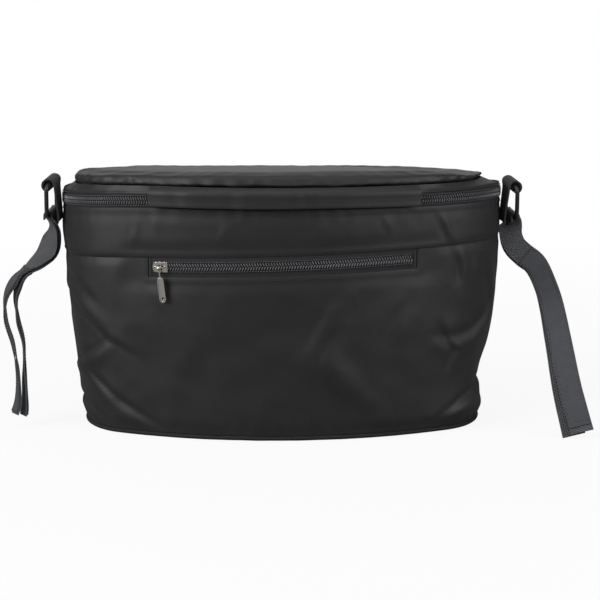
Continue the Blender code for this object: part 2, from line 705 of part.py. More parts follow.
def make_sliders():
    """Sliders and pulls of both zips, each with its origin on its own axis."""
    run = run_at(POCKET_LEFT) + END_BAR_WIDTH + POCKET_SLIDER_INSET
    height = pocket_zip(rim(run)[0])
    place_on_zip(make_slider("pocket_slider", -1, POCKET_BRIDGE_HEIGHT), run, height, POCKET_SLOPE)
    bar = slider_face() - POCKET_BRIDGE_HEIGHT + BRIDGE_BAR / 2
    place_on_zip(make_hanging_pull("pocket_pull"), run, height, POCKET_SLOPE, depth=bar)
    for name, side in (("left", -1), ("right", 1)):
        run = side * MAIN_SLIDER_SPACING
        place_on_zip(make_slider(f"main_slider_{name}", -side, MAIN_BRIDGE_HEIGHT), run, ZIP_HEIGHT, 0)
        bar = slider_face() - SLIDER_CLEARANCE - PULL_THICKNESS / 2
        place_on_zip(make_flat_pull(f"main_pull_{name}", side), run, ZIP_HEIGHT, 0, depth=bar,
                     along=side * PULL_THICKNESS)


# Side loops, rings and straps

def loop_centre(side):
    """Middle of the ring's top bar, in its webbing loop."""
    height = LEFT_LOOP_HEIGHT if side < 0 else RIGHT_LOOP_HEIGHT
    x = HALF_WIDTH + LOOP_STANDOFF + STRAP_THICKNESS + LOOP_TUBE_RADIUS
    return Vector((side * x, LOOP_PLACE, height))


def bar_direction(side):
    """Along the ring's bars: back, up and in towards the wall."""
    return Vector((-0.25 * side, 0.94, 0.20)).normalized()


def ring_down(side):
    """Down the ring's plane, square to its bars."""
    hang = Vector((0.12 * side, -0.15, -1))
    bar = bar_direction(side)
    return (hang - bar * hang.dot(bar)).normalized()


def make_loop(side, name):
    """Webbing sewn to the side, folded over to a tube for the ring's top bar."""
    centre = loop_centre(side)
    out = Vector((side, 0, 0))
    up = Vector((0, 0, 1))
    radius = LOOP_TUBE_RADIUS + STRAP_THICKNESS / 2
    foot_height = centre.z - LOOP_FOOT
    wall = wall_at(LOOP_PLACE + STRAP_WIDTH / 2, foot_height)
    foot = Vector((side * (wall + SEAM_GAP + STRAP_THICKNESS / 2), LOOP_PLACE, foot_height))
    path = [foot, foot.lerp(centre - out * radius - up * 0.004, 0.5), centre - out * radius - up * 0.004]
    for i in range(11):
        turn = pi - i * radians(27)
        path.append(centre + out * radius * cos(turn) + up * radius * sin(turn))
    along = Vector((0, 1, 0))
    bar = bar_direction(side)
    sides = []
    for i in range(len(path)):
        share = min(1.0, max(0.0, (i - 1) / 3))
        sides.append(along.lerp(bar, share).normalized())
    sweep(name, path, sides, flat_section(STRAP_WIDTH * 0.9, STRAP_THICKNESS), "webbing")


def wall_at(y, height):
    """Distance from the middle to the side wall's outer face at y."""
    run = FRONT_RUN + CORNER_RUN
    while wall_point(run, height, 0).y > y and run > FRONT_RUN:
        run -= 0.001
    return wall_point(run, height, 0).x


def make_ring(side, name):
    """Moulded rectangular ring with rounded corners, bars for the loop and the strap."""
    top = loop_centre(side)
    bar, down = bar_direction(side), ring_down(side)
    half = RING_SPAN / 2
    across, low = half - RING_CORNER, RING_HEIGHT - RING_CORNER
    corners = [(across, RING_CORNER), (across, low), (-across, low), (-across, RING_CORNER)]
    path = []
    for k, (a, b) in enumerate(corners):
        for i in range(5):
            turn = -pi / 2 + k * pi / 2 + pi / 2 * i / 4
            path.append(top + bar * (a + RING_CORNER * cos(turn)) + down * (b + RING_CORNER * sin(turn)))
    normal = bar.cross(down)
    thing = sweep(name, path, [normal] * len(path), round_section(RING_WIRE, 10), "moulded", closed=True)
    move_origin(thing, top)


def move_origin(thing, spot):
    """Set the object's origin without moving its shape."""
    thing.data.transform(Matrix.Translation(-spot))
    thing.location = spot


# Route of each strap from the ring's lower bar to its tips: x, y, z and the direction across it
LEFT_STRAP = [
    ((-0.1985, 0.0130, 0.1530), (0.10, -0.97, -0.15)),
    ((-0.2075, 0.0100, 0.1380), (0.25, -0.94, -0.10)),
    ((-0.2190, 0.0060, 0.1220), (0.34, -0.92, -0.05)),
    ((-0.2270, 0.0020, 0.1020), (0.34, -0.93, 0.00)),
    ((-0.2250, -0.002, 0.0720), (0.30, -0.95, 0.00)),
    ((-0.2230, -0.006, 0.0420), (0.28, -0.96, 0.00)),
    ((-0.2240, -0.010, 0.0080), (0.28, -0.96, 0.00)),
]
RIGHT_STRAP = [
    ((0.1985, 0.0130, 0.1515), (0.40, -0.90, -0.20)),
    ((0.2070, 0.0060, 0.1375), (0.60, -0.75, -0.22)),
    ((0.2180, -0.005, 0.1200), (0.78, -0.58, -0.20)),
    ((0.2275, -0.019, 0.0980), (0.88, -0.44, -0.12)),
    ((0.2350, -0.035, 0.0700), (0.93, -0.34, -0.06)),
    ((0.2410, -0.051, 0.0380), (0.95, -0.28, -0.04)),
    ((0.2465, -0.067, 0.0070), (0.96, -0.24, -0.04)),
]


def strap_line(side, route):
    """Smoothed middle line and across vectors, starting at the ring's lower bar."""
    bottom = loop_centre(side) + ring_down(side) * RING_HEIGHT
    points = [bottom, bottom + ring_down(side) * STRAP_LEAD] + [Vector(p) for p, w in route]
    across = [-bar_direction(side)] * 2 + [Vector(w) for p, w in route]
    return smooth_path(points, 4), [w.normalized() for w in smooth_path(across, 4)]


def tail_offsets(count):
    """How far each tail lies from the middle line, from the ring to the tip."""
    start = RING_WIRE + STRAP_CLEARANCE + STRAP_THICKNESS / 2
    run = STRAP_THICKNESS / 2 + TAIL_SPREAD
    tip = STRAP_THICKNESS / 2 + TIP_SPREAD
    result = []
    for i in range(count):
        share = min(1.0, i / (count * 0.22))
        late = max(0.0, i / (count - 1) - 0.45) / 0.55
        result.append(ease(start, run, share) + (tip - run) * late)
    return result


def frame_at(line, across, i):
    """Across and outward unit vectors square to the line at point i."""
    along = (line[min(i + 1, len(line) - 1)] - line[max(i - 1, 0)]).normalized()
    flat = (across[i] - along * across[i].dot(along)).normalized()
    return flat, along.cross(flat)


def make_strap(side, name, route):
    """Webbing folded round the ring's lower bar, with two tails and a fastening tape on each."""
    line, across = strap_line(side, route)
    offsets = tail_offsets(len(line))
    frames = [frame_at(line, across, i) for i in range(1, len(line))]
    bar = -bar_direction(side)
    down = ring_down(side)
    outward = frames[0][1] - bar * frames[0][1].dot(bar)
    outward = (outward - down * outward.dot(down)).normalized()
    turns = [pi * i / 8 for i in range(9)]
    radial = [outward * cos(turn) - down * sin(turn) for turn in turns]
    arc = [line[0] + spoke * offsets[0] for spoke in radial]
    tails = {way: [line[i + 1] + out * offsets[i + 1] * way for i, (flat, out) in enumerate(frames)]
             for way in (1, -1)}
    flats = [flat for flat, out in frames]
    path = tails[1][::-1] + arc + tails[-1]
    sides = flats[::-1] + [bar] * len(arc) + flats
    outs = [out for flat, out in frames][::-1] + radial + [-out for flat, out in frames]
    sweep(name, path, sides, flat_section(STRAP_WIDTH, STRAP_THICKNESS), "webbing", outs=outs)
    start = round(len(frames) * TAPE_START)
    lift = STRAP_THICKNESS / 2 + SEAM_GAP + HOOK_TAPE / 2
    for kind, way in (("hook", 1), ("loop", -1)):
        away = [out * way for flat, out in frames[start:-1]]
        piece = [spot + out * lift for spot, out in zip(tails[way][start:-1], away)]
        tape = flat_section(STRAP_WIDTH - TAPE_INSET, HOOK_TAPE)
        sweep(f"{name}_{kind}_tape", piece, flats[start:-1], tape, "webbing", outs=away)


def main():
    """Clear the scene and model every sub-part."""
    for thing in list(bpy.data.objects):
        bpy.data.objects.remove(thing)
    make_base()
    make_walls()
    make_pocket()
    make_main_zip()
    make_lid()
    make_sliders()
    for side, name, route in ((-1, "left", LEFT_STRAP), (1, "right", RIGHT_STRAP)):
        make_loop(side, f"{name}_loop")
        make_ring(side, f"{name}_ring")
        make_strap(side, f"{name}_strap", route)


main()
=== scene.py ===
"""Dresses the stroller organizer's frame in cloth, webbing, zips and metal, and stages it."""
from math import atan2, cos, exp, pi, radians, sin, sqrt

import bpy
import numpy as np
from bpy.props import FloatProperty, FloatVectorProperty, PointerProperty, StringProperty
from mathutils import Matrix, Vector, noise


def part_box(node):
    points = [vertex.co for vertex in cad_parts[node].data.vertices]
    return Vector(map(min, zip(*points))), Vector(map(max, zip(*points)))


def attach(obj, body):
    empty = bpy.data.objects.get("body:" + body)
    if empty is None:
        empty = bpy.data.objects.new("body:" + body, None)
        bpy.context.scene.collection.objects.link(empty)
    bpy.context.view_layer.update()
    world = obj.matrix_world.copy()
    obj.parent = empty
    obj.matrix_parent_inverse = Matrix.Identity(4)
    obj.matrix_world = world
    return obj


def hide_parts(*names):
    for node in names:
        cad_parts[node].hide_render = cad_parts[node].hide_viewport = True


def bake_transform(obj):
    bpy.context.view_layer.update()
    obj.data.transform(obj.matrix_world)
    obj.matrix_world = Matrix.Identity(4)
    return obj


bl_info = {
    "name": "Stroller Organizer",
    "version": (1, 0, 0),
    "blender": (4, 5, 0),
    "location": "3D View > Sidebar > Organizer",
    "description": "Makes the cloth, webbing, zips and metal of a stroller organizer bag",
    "category": "Object",
}

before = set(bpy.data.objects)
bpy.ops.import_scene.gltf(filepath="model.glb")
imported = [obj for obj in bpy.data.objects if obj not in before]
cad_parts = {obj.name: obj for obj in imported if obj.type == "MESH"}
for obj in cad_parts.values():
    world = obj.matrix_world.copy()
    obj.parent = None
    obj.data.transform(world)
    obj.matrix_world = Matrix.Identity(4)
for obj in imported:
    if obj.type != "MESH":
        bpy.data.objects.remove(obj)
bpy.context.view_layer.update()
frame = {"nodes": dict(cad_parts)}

# Measures in metres that several pieces share
SEAM = 0.0003           # gap between neighbouring layers of cloth
STEP = 0.0026           # mesh step of the outer cloth
THIN = 0.0005           # thickness of linings and binding tape
STITCH = 0.0031         # pitch of the topstitching
STITCH_END = 0.003      # where topstitching stops before the hinge
SPINE_END = 0.075       # from the bag's end to the end of the line that a disc closes on
SPINE_PLACE = 0.008     # that line's place, front to back
SWELL_FRAMES = 20       # length of the pad's simulation
DROOP_START = 0.105     # run at which the rim starts to sag
SAG_FOOT = 0.105        # height above which the wall sags with its rim


def length(name, default, text):
    """A size in metres."""
    return FloatProperty(name=name, description=text, default=default, unit="LENGTH", precision=5)


def number(name, default, text, **limits):
    """A plain number."""
    return FloatProperty(name=name, description=text, default=default, **limits)


def hexed(name, default, text):
    """A colour as its sRGB hex value."""
    return StringProperty(name=name, description=text, default=default)


class BagSizes(bpy.types.PropertyGroup):
    """The bag's own sizes."""
    width: length("Width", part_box("lid_gusset")[1].x * 2, "Whole width at the zip")
    front_reach: length("Front reach", -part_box("lid_gusset")[0].y, "Middle to the front at the zip")
    back_reach: length("Back reach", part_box("hinge_strip_upper")[1].y, "Middle to the back at the zip")
    front_radius: length("Front radius", 0.308, "Radius of the bowed front")
    corner_radius: length("Corner radius", 0.082, "Radius of the front corners")
    back_corner_radius: length("Back corner radius", 0.042, "Radius of the back corners")
    front_taper: length("Front taper", 0.0085, "How far the front leans in at the base")
    side_taper: length("Side taper", 0.0175, "How far the sides lean in at the base")
    back_taper: length("Back taper", 0.0045, "How far the back leans in at the base")
    taper_power: number("Taper power", 1.6, "How fast the lean grows downwards", min=1.0, max=4.0)
    zip_height: length("Zip height", 0.1959, "Middle of the main zip above the floor")
    window: length("Zip window", 0.0058, "Half the height of the zip's open window")
    gusset: length("Gusset", 0.0064, "Height of the strip over the zip")
    hinge_half: length("Hinge half width", 0.140, "Middle of the back to the zip's end")
    foam_top: length("Foam top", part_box("wall_foam")[1].z, "Top of the foam in the walls")
    fabric: length("Fabric", 0.0008, "Thickness of the outer cloth with its coating")
    wall_foot: length("Wall foot", 0.0042, "Where the walls start over the piping")
    left_droop: length("Left droop", 0.0054, "How far the rim sags at the left")
    back_sag: length("Back sag", 0.0045, "How far the rim sags at the right back corner")
    right_droop: length("Right droop", -0.0012, "How far the rim sags at the right")


class PocketSizes(bpy.types.PropertyGroup):
    """The front pocket and its zip."""
    height: length("Zip height", 0.1455, "Middle of the pocket zip above the floor, at the middle")
    slope: number("Slope", 0.02793, "Rise of the zip for each metre to the right")
    above: length("Above", 0.0075, "Zip's middle to the window's upper edge")
    below: length("Below", 0.0085, "Zip's middle to the window's lower edge")
    left: length("Left", -0.1105, "Left end of the window")
    right: length("Right", 0.1075, "Right end of the window")
    depth: length("Depth", 0.120, "Depth of the pocket bag under its zip")


class LidSizes(bpy.types.PropertyGroup):
    """The padded lid and its flap."""
    pad: length("Pad", 0.0097, "Height of the pad over its seam in front")
    back_drop: length("Back drop", 0.0076, "How far the pad falls towards the back")
    left_inset: length("Left inset", 0.0090, "Pad seam inside the zip at the left")
    right_inset: length("Right inset", 0.0150, "Pad seam inside the zip at the right")
    left_share: number("Left share", 0.8, "Share of the left droop that the seam follows",
                       min=-1.0, max=1.0)
    right_share: number("Right share", -0.6, "Share of the right droop that the seam follows",
                        min=-1.0, max=1.0)
    left_end: length("Left end", 0.0088, "Height of the pad's blunt left end")
    flap_half: length("Flap half width", 0.107, "Half the length of the storm flap")
    flap_drop: length("Flap drop", 0.0164, "Depth of the storm flap")
    flap_stand: length("Flap stand", 0.0056, "How far the flap stands off for the sliders")
    flap_fabric: length("Flap cloth", 0.0012, "Thickness of the doubled flap cloth")
    pressure: number("Pressure", 3.0, "Pressure of the cloth simulation in the pad", min=0.0, max=20.0)
    voxel: length("Voxel", 0.0033, "Size of the pad's even mesh")
    cap: length("Cap", 0.0016, "How far the simulation may move a point")


class StrapSizes(bpy.types.PropertyGroup):
    """Side loops, rings and straps."""
    width: length("Width", 0.0190, "Width of the webbing")
    thickness: length("Thickness", 0.0013, "Thickness of the webbing")
    loop_place: length("Loop place", 0.008, "Middle of the side loops, front to back")
    standoff: length("Standoff", 0.0025, "Wall to the loop's webbing")
    tube: length("Tube", 0.0042, "Inner radius of the loop round the ring")
    foot: length("Foot", 0.027, "Loop's foot under the ring's bar")
    ring_height: length("Ring height", 0.0265, "Between the middles of the ring's bars")
    ring_wire: length("Ring wire", 0.0019, "Radius of the ring's bars")
    left_height: length("Left height", 0.2040, "Left ring's upper bar above the floor")
    right_height: length("Right height", 0.2010, "Right ring's upper bar above the floor")
    lead: length("Lead", 0.005, "Straight start of the strap under the ring")
    clearance: length("Clearance", 0.0007, "Strap to the ring's bar")
    tape_start: number("Tape start", 0.40, "Where the fastening tape starts along a tail",
                       min=0.0, max=1.0, subtype="FACTOR")
    tape: length("Tape", 0.0007, "Thickness of the fastening tape")
    tape_inset: length("Tape inset", 0.0010, "Webbing's width less the tape's")


class ZipSizes(bpy.types.PropertyGroup):
    """Coils and tapes of both zips."""
    gap: length("Chain gap", 0.0007, "Middle of the chain to the heads of one half")
    coil: length("Coil width", 0.0023, "Width of one half of the chain")
    proud: length("Coil height", 0.0014, "Height of the coil over its tape")
    pitch: length("Pitch", 0.0022, "Tooth to tooth, a little over the real 1.7 mm so that the teeth show")
    tape: length("Tape", 0.0005, "Thickness of the tape")
    tuck: length("Tuck", 0.0080, "Tape under the cloth")
    end_bar: length("End bar", 0.0030, "Width of the pocket zip's end bars")


class Colours(bpy.types.PropertyGroup):
    """Finish colours as sRGB hex values."""
    cloth: hexed("Cloth", "202021", "Black woven polyester")
    lining: hexed("Lining", "3F4043", "Dark grey taffeta")
    tape: hexed("Zip tape", "1C1C1D", "Black zip tape")
    # Coil: mid grey, lighter than black nylon, as painted highlights on the teeth
    coil: hexed("Coil", "646468", "Black nylon coil")
    # Chain thread: grey, lighter than black thread, so its bright dots are partly painted highlights
    chain_thread: hexed("Chain thread", "545458", "Thread that holds the coils")
    webbing: hexed("Webbing", "404144", "Black polypropylene webbing")
    fastening: hexed("Fastening tape", "46474B", "Black hook and loop tape")
    moulded: hexed("Moulded", "2A2A2B", "Black moulded nylon")
    nickel: hexed("Nickel", "CFCBC4", "Bright nickel plate")
    thread: hexed("Thread", "363638", "Black sewing thread")
    foam: hexed("Foam", "6B6B6D", "Grey polyethylene foam")
    board: hexed("Board", "4A4A4A", "Grey stiffening board")
    paper: hexed("Floor", "F4F4F4", "Pale studio floor")


class StageSizes(bpy.types.PropertyGroup):
    """Camera and lights."""
    camera: FloatVectorProperty(name="Camera", description="Camera's place", size=3,
                                default=(-0.0363, -1.4738, 0.3601), subtype="TRANSLATION")
    target: FloatVectorProperty(name="Target", description="Point that the camera looks at", size=3,
                                default=(0.01429, 0.0, 0.10473), subtype="TRANSLATION")
    lens: number("Lens", 106.52, "Focal length in millimetres on a 36 mm sensor")
    top: number("Top light", 5.8, "Power of the softbox overhead")
    left: number("Left light", 23.0, "Power of the softbox at the left")
    right: number("Right light", 15.0, "Power of the softbox at the right")
    back: number("Back light", 4.0, "Power of the softbox behind")
    world: number("World", 0.12, "Strength of the light from all round")


# Outline, walls and folds

def ease(first, second, share):
    """Smooth change from one value to another."""
    share = min(1.0, max(0.0, share))
    return first + (second - first) * share * share * (3 - 2 * share)


def bump(distance, width):
    """Soft hill of height 1 and the given half width."""
    return exp(-(distance / width) ** 2)


def wander(x, y, z):
    """Even noise at a spot, about -1 to 1."""
    return noise.noise(Vector((x, y, z)))


def ripple(s, pitch, drift=0.0, rate=0.0):
    """Wave along a run, its pitch made uneven by a slower wave."""
    return sin(s * 2 * pi / pitch + drift * sin(s * rate))


# Folds in the outer cloth: points (run, height) of the crease, then the ridge's height and width beside it,
# the crease's depth and width. The ridge lies on the left of the way the points go, or on the right for a
# width under 0. Runs go round the outline from the front centre, + to the right, in metres.
FOLDS = [
    # left corner: the long crease from the side, its hook, and the long crease down to the base
    ([(-0.228, 0.115), (-0.210, 0.111), (-0.172, 0.093), (-0.152, 0.079)], 0.0026, 0.0085, 0.0022, 0.0030),
    ([(-0.153, 0.079), (-0.168, 0.070), (-0.198, 0.058), (-0.222, 0.054)], 0.0022, 0.0070, 0.0020, 0.0028),
    ([(-0.155, 0.080), (-0.143, 0.076), (-0.128, 0.067)], 0.0008, 0.0050, 0.0012, 0.0028),
    ([(-0.200, 0.058), (-0.178, 0.050), (-0.159, 0.039), (-0.144, 0.028), (-0.125, 0.018), (-0.104, 0.007)],
     0.0011, -0.0070, 0.0020, 0.0028),
    ([(-0.275, 0.022), (-0.235, 0.023), (-0.205, 0.022), (-0.179, 0.018), (-0.164, 0.011)],
     0.0010, 0.0060, 0.0028, 0.0028),
    ([(-0.222, 0.131), (-0.205, 0.129), (-0.180, 0.122), (-0.163, 0.110)], 0.0010, 0.0060, 0.0010, 0.0030),
    ([(-0.140, 0.142), (-0.118, 0.124), (-0.103, 0.104), (-0.098, 0.084)], 0.0008, 0.0090, 0.0006, 0.0050),
    # right corner: a fold that drops from the rim, arcs round and ends in the notch over the base
    ([(0.123, 0.187), (0.128, 0.181), (0.134, 0.168), (0.145, 0.152)], 0.0022, 0.0036, 0.0014, 0.0028),
    ([(0.142, 0.153), (0.148, 0.141), (0.149, 0.127)], 0.0016, 0.0055, 0.0024, 0.0032),
    ([(0.176, 0.146), (0.188, 0.122), (0.192, 0.106), (0.184, 0.093), (0.168, 0.084), (0.150, 0.080),
      (0.128, 0.083)], 0.0017, 0.0070, 0.0026, 0.0056),
    ([(0.132, 0.092), (0.139, 0.077), (0.146, 0.069), (0.141, 0.054)], 0.0014, 0.0060, 0.0020, 0.0032),
    ([(0.250, 0.038), (0.205, 0.037), (0.177, 0.032), (0.156, 0.025), (0.134, 0.013)],
     0.0022, 0.0085, 0.0028, 0.0034),
    ([(0.104, 0.116), (0.090, 0.098), (0.084, 0.080)], 0.0008, 0.0090, 0.0006, 0.0050),
    # middle: a loose fold that falls from under the pocket zip and turns to the right
    ([(0.046, 0.130), (0.034, 0.112), (0.022, 0.090), (0.010, 0.072)], 0.0017, 0.0085, 0.0012, 0.0050),
    ([(0.042, 0.092), (0.032, 0.080), (0.026, 0.067), (0.030, 0.050), (0.038, 0.036)],
     0.0014, 0.0100, 0.0014, 0.0036),
    ([(-0.012, 0.068), (0.012, 0.060), (0.037, 0.049), (0.056, 0.027), (0.075, 0.007)],
     0.0019, 0.0120, 0.0, 0.0040),
    ([(-0.060, 0.120), (-0.085, 0.090), (-0.102, 0.062), (-0.112, 0.028)], 0.0015, 0.0140, 0.0, 0.0040),
    # under the rim: short puckers where the cloth is eased into the zip
    ([(-0.131, 0.186), (-0.126, 0.176), (-0.128, 0.164)], 0.0010, 0.0036, 0.0008, 0.0024),
    ([(-0.112, 0.185), (-0.107, 0.172)], 0.0008, 0.0034, 0.0007, 0.0024),
    ([(0.076, 0.184), (0.083, 0.170)], 0.0008, 0.0034, 0.0007, 0.0024),
    ([(0.020, 0.182), (0.012, 0.165)], 0.0006, 0.0060, 0.0004, 0.0040),
    ([(-0.050, 0.182), (-0.058, 0.162)], 0.0006, 0.0060, 0.0004, 0.0040),
    # sides and back
    ([(-0.370, 0.140), (-0.335, 0.112), (-0.320, 0.070)], 0.0022, 0.0085, 0.0018, 0.0036),
    ([(0.340, 0.130), (0.308, 0.100), (0.285, 0.050)], 0.0022, 0.0085, 0.0018, 0.0036),
    ([(-0.490, 0.150), (-0.445, 0.112), (-0.430, 0.060)], 0.0020, 0.0130, 0.0014, 0.0050),
    ([(0.440, 0.146), (0.425, 0.120), (0.392, 0.070)], 0.0020, 0.0120, 0.0014, 0.0050),
    ([(0.350, 0.040), (0.400, 0.030), (0.448, 0.036)], 0.0018, 0.0090, 0.0016, 0.0036),
    ([(-0.350, 0.034), (-0.400, 0.046), (-0.448, 0.040)], 0.0018, 0.0090, 0.0016, 0.0036),
]

# Broad swellings of the slack cloth: run, height, half width, half height, depth.
SWELLS = [
    (-0.235, 0.010, 0.045, 0.008, 0.0026),
    (0.235, 0.040, 0.050, 0.024, -0.0062),
    (-0.165, 0.080, 0.016, 0.012, -0.0010),
    (0.165, 0.098, 0.014, 0.014, -0.0016),
    (-0.150, 0.110, 0.050, 0.045, 0.0014),
    (-0.040, 0.060, 0.070, 0.045, -0.0008),
    (0.085, 0.080, 0.040, 0.050, 0.0016),
    (0.190, 0.100, 0.045, 0.040, 0.0018),
    (0.225, 0.012, 0.060, 0.010, 0.0034),
    (0.150, 0.015, 0.040, 0.012, 0.0016),
]


class Shell:
    """The bag's wall as a surface: plan outline, lean, sag of the rim and folds in the cloth."""

    def __init__(self, scene):
        for key in scene.bag_sizes.__annotations__:
            setattr(self, key, getattr(scene.bag_sizes, key))
        self.pocket, self.lid = scene.pocket_sizes, scene.lid_sizes
        self.half = self.width / 2
        self.centre_y = self.front_radius - self.front_reach
        self.corner_x = self.half - self.corner_radius
        gap = self.front_radius - self.corner_radius
        self.corner_y = self.centre_y - sqrt(gap ** 2 - self.corner_x ** 2)
        self.front_angle = atan2(self.corner_x, self.centre_y - self.corner_y)
        self.back_y = self.back_reach - self.back_corner_radius
        self.back_x = self.half - self.back_corner_radius
        self.front_run = self.front_radius * self.front_angle
        self.corner_run = self.corner_radius * (pi / 2 - self.front_angle)
        self.side_run = self.back_y - self.corner_y
        self.back_run = self.back_corner_radius * pi / 2
        self.half_run = self.front_run + self.corner_run + self.side_run + self.back_run + self.back_x
        self.hinge_s = self.half_run - self.hinge_half
        self.side_start = self.front_run + self.corner_run
        self.back_span = self.hinge_s + SEAM, 2 * self.half_run - self.hinge_s - SEAM
        self.rim_low = self.zip_height - self.window
        self.rim_high = self.zip_height + self.window
        self.lid_seam = self.rim_high + self.gusset

    def wrapped(self, s):
        """Run brought back between the two back centres."""
        return (s + self.half_run) % (2 * self.half_run) - self.half_run

    def around(self, share):
        """Run at a share of the whole way round, from back centre to back centre."""
        return -self.half_run + 2 * self.half_run * share

    def rim(self, s):
        """Point, outward normal and taper of the outline at a run."""
        s = self.wrapped(s)
        side = 1 if s >= 0 else -1
        run = abs(s)
        if run <= self.front_run:
            turn = run / self.front_radius
            centre, radius, taper = (0.0, self.centre_y), self.front_radius, self.front_taper
        elif run <= self.side_start:
            turn = self.front_angle + (run - self.front_run) / self.corner_radius
            centre, radius = (self.corner_x, self.corner_y), self.corner_radius
            taper = ease(self.front_taper, self.side_taper, (run - self.front_run) / self.corner_run)
        elif run <= self.half_run - self.back_x:
            along = run - self.side_start
            taper = ease(self.side_taper, self.back_taper, along / (self.side_run + self.back_run))
            turn, centre, radius = pi / 2, (0.0, self.corner_y + along), self.half
            if along > self.side_run:
                turn += (along - self.side_run) / self.back_corner_radius
                centre, radius = (self.back_x, self.back_y), self.back_corner_radius
        else:
            turn, taper = pi, self.back_taper
            centre, radius = (self.half_run - run, 0.0), self.back_reach
        x, y = centre[0] + radius * sin(turn), centre[1] - radius * cos(turn)
        return x * side, y, sin(turn) * side, -cos(turn), taper

    def normal(self, s):
        """Outward normal of the outline at a run, along x and y."""
        return self.rim(s)[2:4]

    def run_at(self, x):
        """Run on the front at which the outline stands at x."""
        return self.front_radius * atan2(x, sqrt(self.front_radius ** 2 - x ** 2))

    def pocket_level(self, s, rise=0.0):
        """Height a given rise above the pocket zip's middle line, carried round the sides level."""
        x = self.front_radius * sin(max(-1.2, min(1.2, s / self.front_radius)))
        x = max(-self.half * 0.95, min(self.half * 0.95, x))
        return self.pocket.height + x * self.pocket.slope + rise

    def droop(self, s):
        """How far the rim hangs down at a run, most at the left corner."""
        s = self.wrapped(s)
        depth = self.left_droop if s < 0 else self.right_droop
        grow = ease(0, 1, (abs(s) - DROOP_START) / (self.side_start - DROOP_START))
        fade = ease(1, 0, (abs(s) - self.side_start - 0.012) / (self.side_run + self.back_run))
        corner = self.side_start + self.side_run + self.back_run / 2
        slump = self.back_sag * bump(s - corner, 0.055) if s > 0 else 0.0
        return depth * grow * fade + slump

    def lid_droop(self, s):
        """How far the pad's seam hangs down at a run: less than the zip under it."""
        droop, s = self.droop(s), self.wrapped(s)
        return droop * (self.lid.left_share if s < 0 else self.lid.right_share if droop < 0 else 1.0)

    def sag(self, s, height):
        """Downward shift of the wall at a run and height."""
        return self.droop(s) * ease(0, 1, (height - SAG_FOOT) / (self.rim_low - SAG_FOOT))

    def fold(self, s, height):
        """Height of the folds at a run and height."""
        total = 0.0
        for points, rise, wide, deep, narrow in FOLDS:
            reach = 3.2 * max(abs(wide), narrow)
            runs, heights = [p[0] for p in points], [p[1] for p in points]
            if not (min(runs) - reach < s < max(runs) + reach
                    and min(heights) - reach < height < max(heights) + reach):
                continue
            nearest, spans = 1e9, len(points) - 1
            for i in range(spans):
                (from_s, from_h), (to_s, to_h) = points[i], points[i + 1]
                ds, dh = to_s - from_s, to_h - from_h
                size = ds * ds + dh * dh
                share = ((s - from_s) * ds + (height - from_h) * dh) / size
                share = min(1.0, max(0.0, share))
                away_s, away_h = s - from_s - ds * share, height - from_h - dh * share
                distance = sqrt(away_s ** 2 + away_h ** 2)
                if distance < nearest:
                    nearest, place = distance, (i + share) / spans
                    side = (away_h * ds - away_s * dh) / sqrt(size)
            ends = sin(pi * (0.07 + 0.86 * place)) ** 0.8
            beside = abs(wide)
            ridge = rise * bump(sqrt((nearest ** 2 - side ** 2) + (side - wide * 0.9) ** 2), beside)
            total += ends * (ridge - deep * bump(nearest, narrow))
        return total

    def relief(self, s, height):
        """Outward stand of the outer cloth: swellings, folds and fine creases, calm at seams and zips."""
        s = self.wrapped(s)
        spot = Vector((s * 18, height * 18, 3.7))
        slack = 0.0010 + 0.0012 * noise.noise(spot) + 0.0005 * noise.noise(spot * 3.1)
        crease = abs(wander(s * 30 + height * 14, height * 26 - s * 9, 9.1))
        slack += 0.0007 * max(0.0, 0.35 - crease)
        for at_s, at_h, wide, high, depth in SWELLS:
            slack += depth * exp(-((s - at_s) / wide) ** 2 - ((height - at_h) / high) ** 2)
        slack += self.fold(s, height)
        slack = 0.0010 + (slack - 0.0010) * ease(0, 1, (self.half_run - abs(s)) / 0.035)
        rim = ease(0, 1, (self.rim_low - height) / 0.014)
        foot = ease(0.15, 1, (height - self.wall_foot) / 0.012)
        calm = rim * foot
        level = height - self.pocket_level(s)
        window = ease(1, 0, (self.pocket.left - 0.012 - s) / 0.02)
        window *= ease(1, 0, (s - self.pocket.right - 0.010) / 0.02)
        near = ease(1, 0, (abs(level) - 0.010) / 0.014) * window
        calm *= 1 - 0.94 * near
        seam_gap = level - self.pocket.above
        calm *= 1 - 0.65 * bump(seam_gap, 0.004) * (1 - near)
        uneven = 0.5 + wander(s * 28, 2.5, 6.5)
        pucker = 0.00026 * ripple(s, 0.0095, 2, 60) * bump(seam_gap, 0.006)
        pucker += 0.00026 * ripple(s, 0.0145, 3, 41) * bump(height - self.rim_low + 0.004, 0.006)
        pucker += 0.00034 * ripple(s, 0.017, 2, 37) * bump(height - self.wall_foot - 0.004, 0.007)
        pucker *= max(0.0, uneven)
        return slack * calm + pucker * (1 - near)

    def wall(self, s, height, offset=0.0, share=0.0):
        """Point of the wall: offset inwards from the outer face, with a share of the outer cloth's relief."""
        x, y, nx, ny, taper = self.rim(s)
        lean = taper * max(0.0, 1 - height / self.zip_height) ** self.taper_power
        stand = self.relief(s, height) * share if share else 0.0
        inwards = lean + offset - stand
        return Vector((x - nx * inwards, y - ny * inwards, height - self.sag(s, height)))

    def outer(self, s, height, offset=0.0):
        """Point of the outer cloth with its whole relief."""
        return self.wall(s, height, offset, 1.0)

    def inset(self, s):
        """How far the pad's seam lies inside the zip's outline."""
        s = self.wrapped(s)
        depth = self.lid.left_inset if s < 0 else self.lid.right_inset
        start = 0.096 if s > 0 else 0.112
        grow = ease(0, 1, (abs(s) - start) / (self.side_start - start))
        fade = ease(1, 0, (abs(s) - self.side_start - self.side_run) / self.back_run)
        return 0.0012 + depth * grow * fade

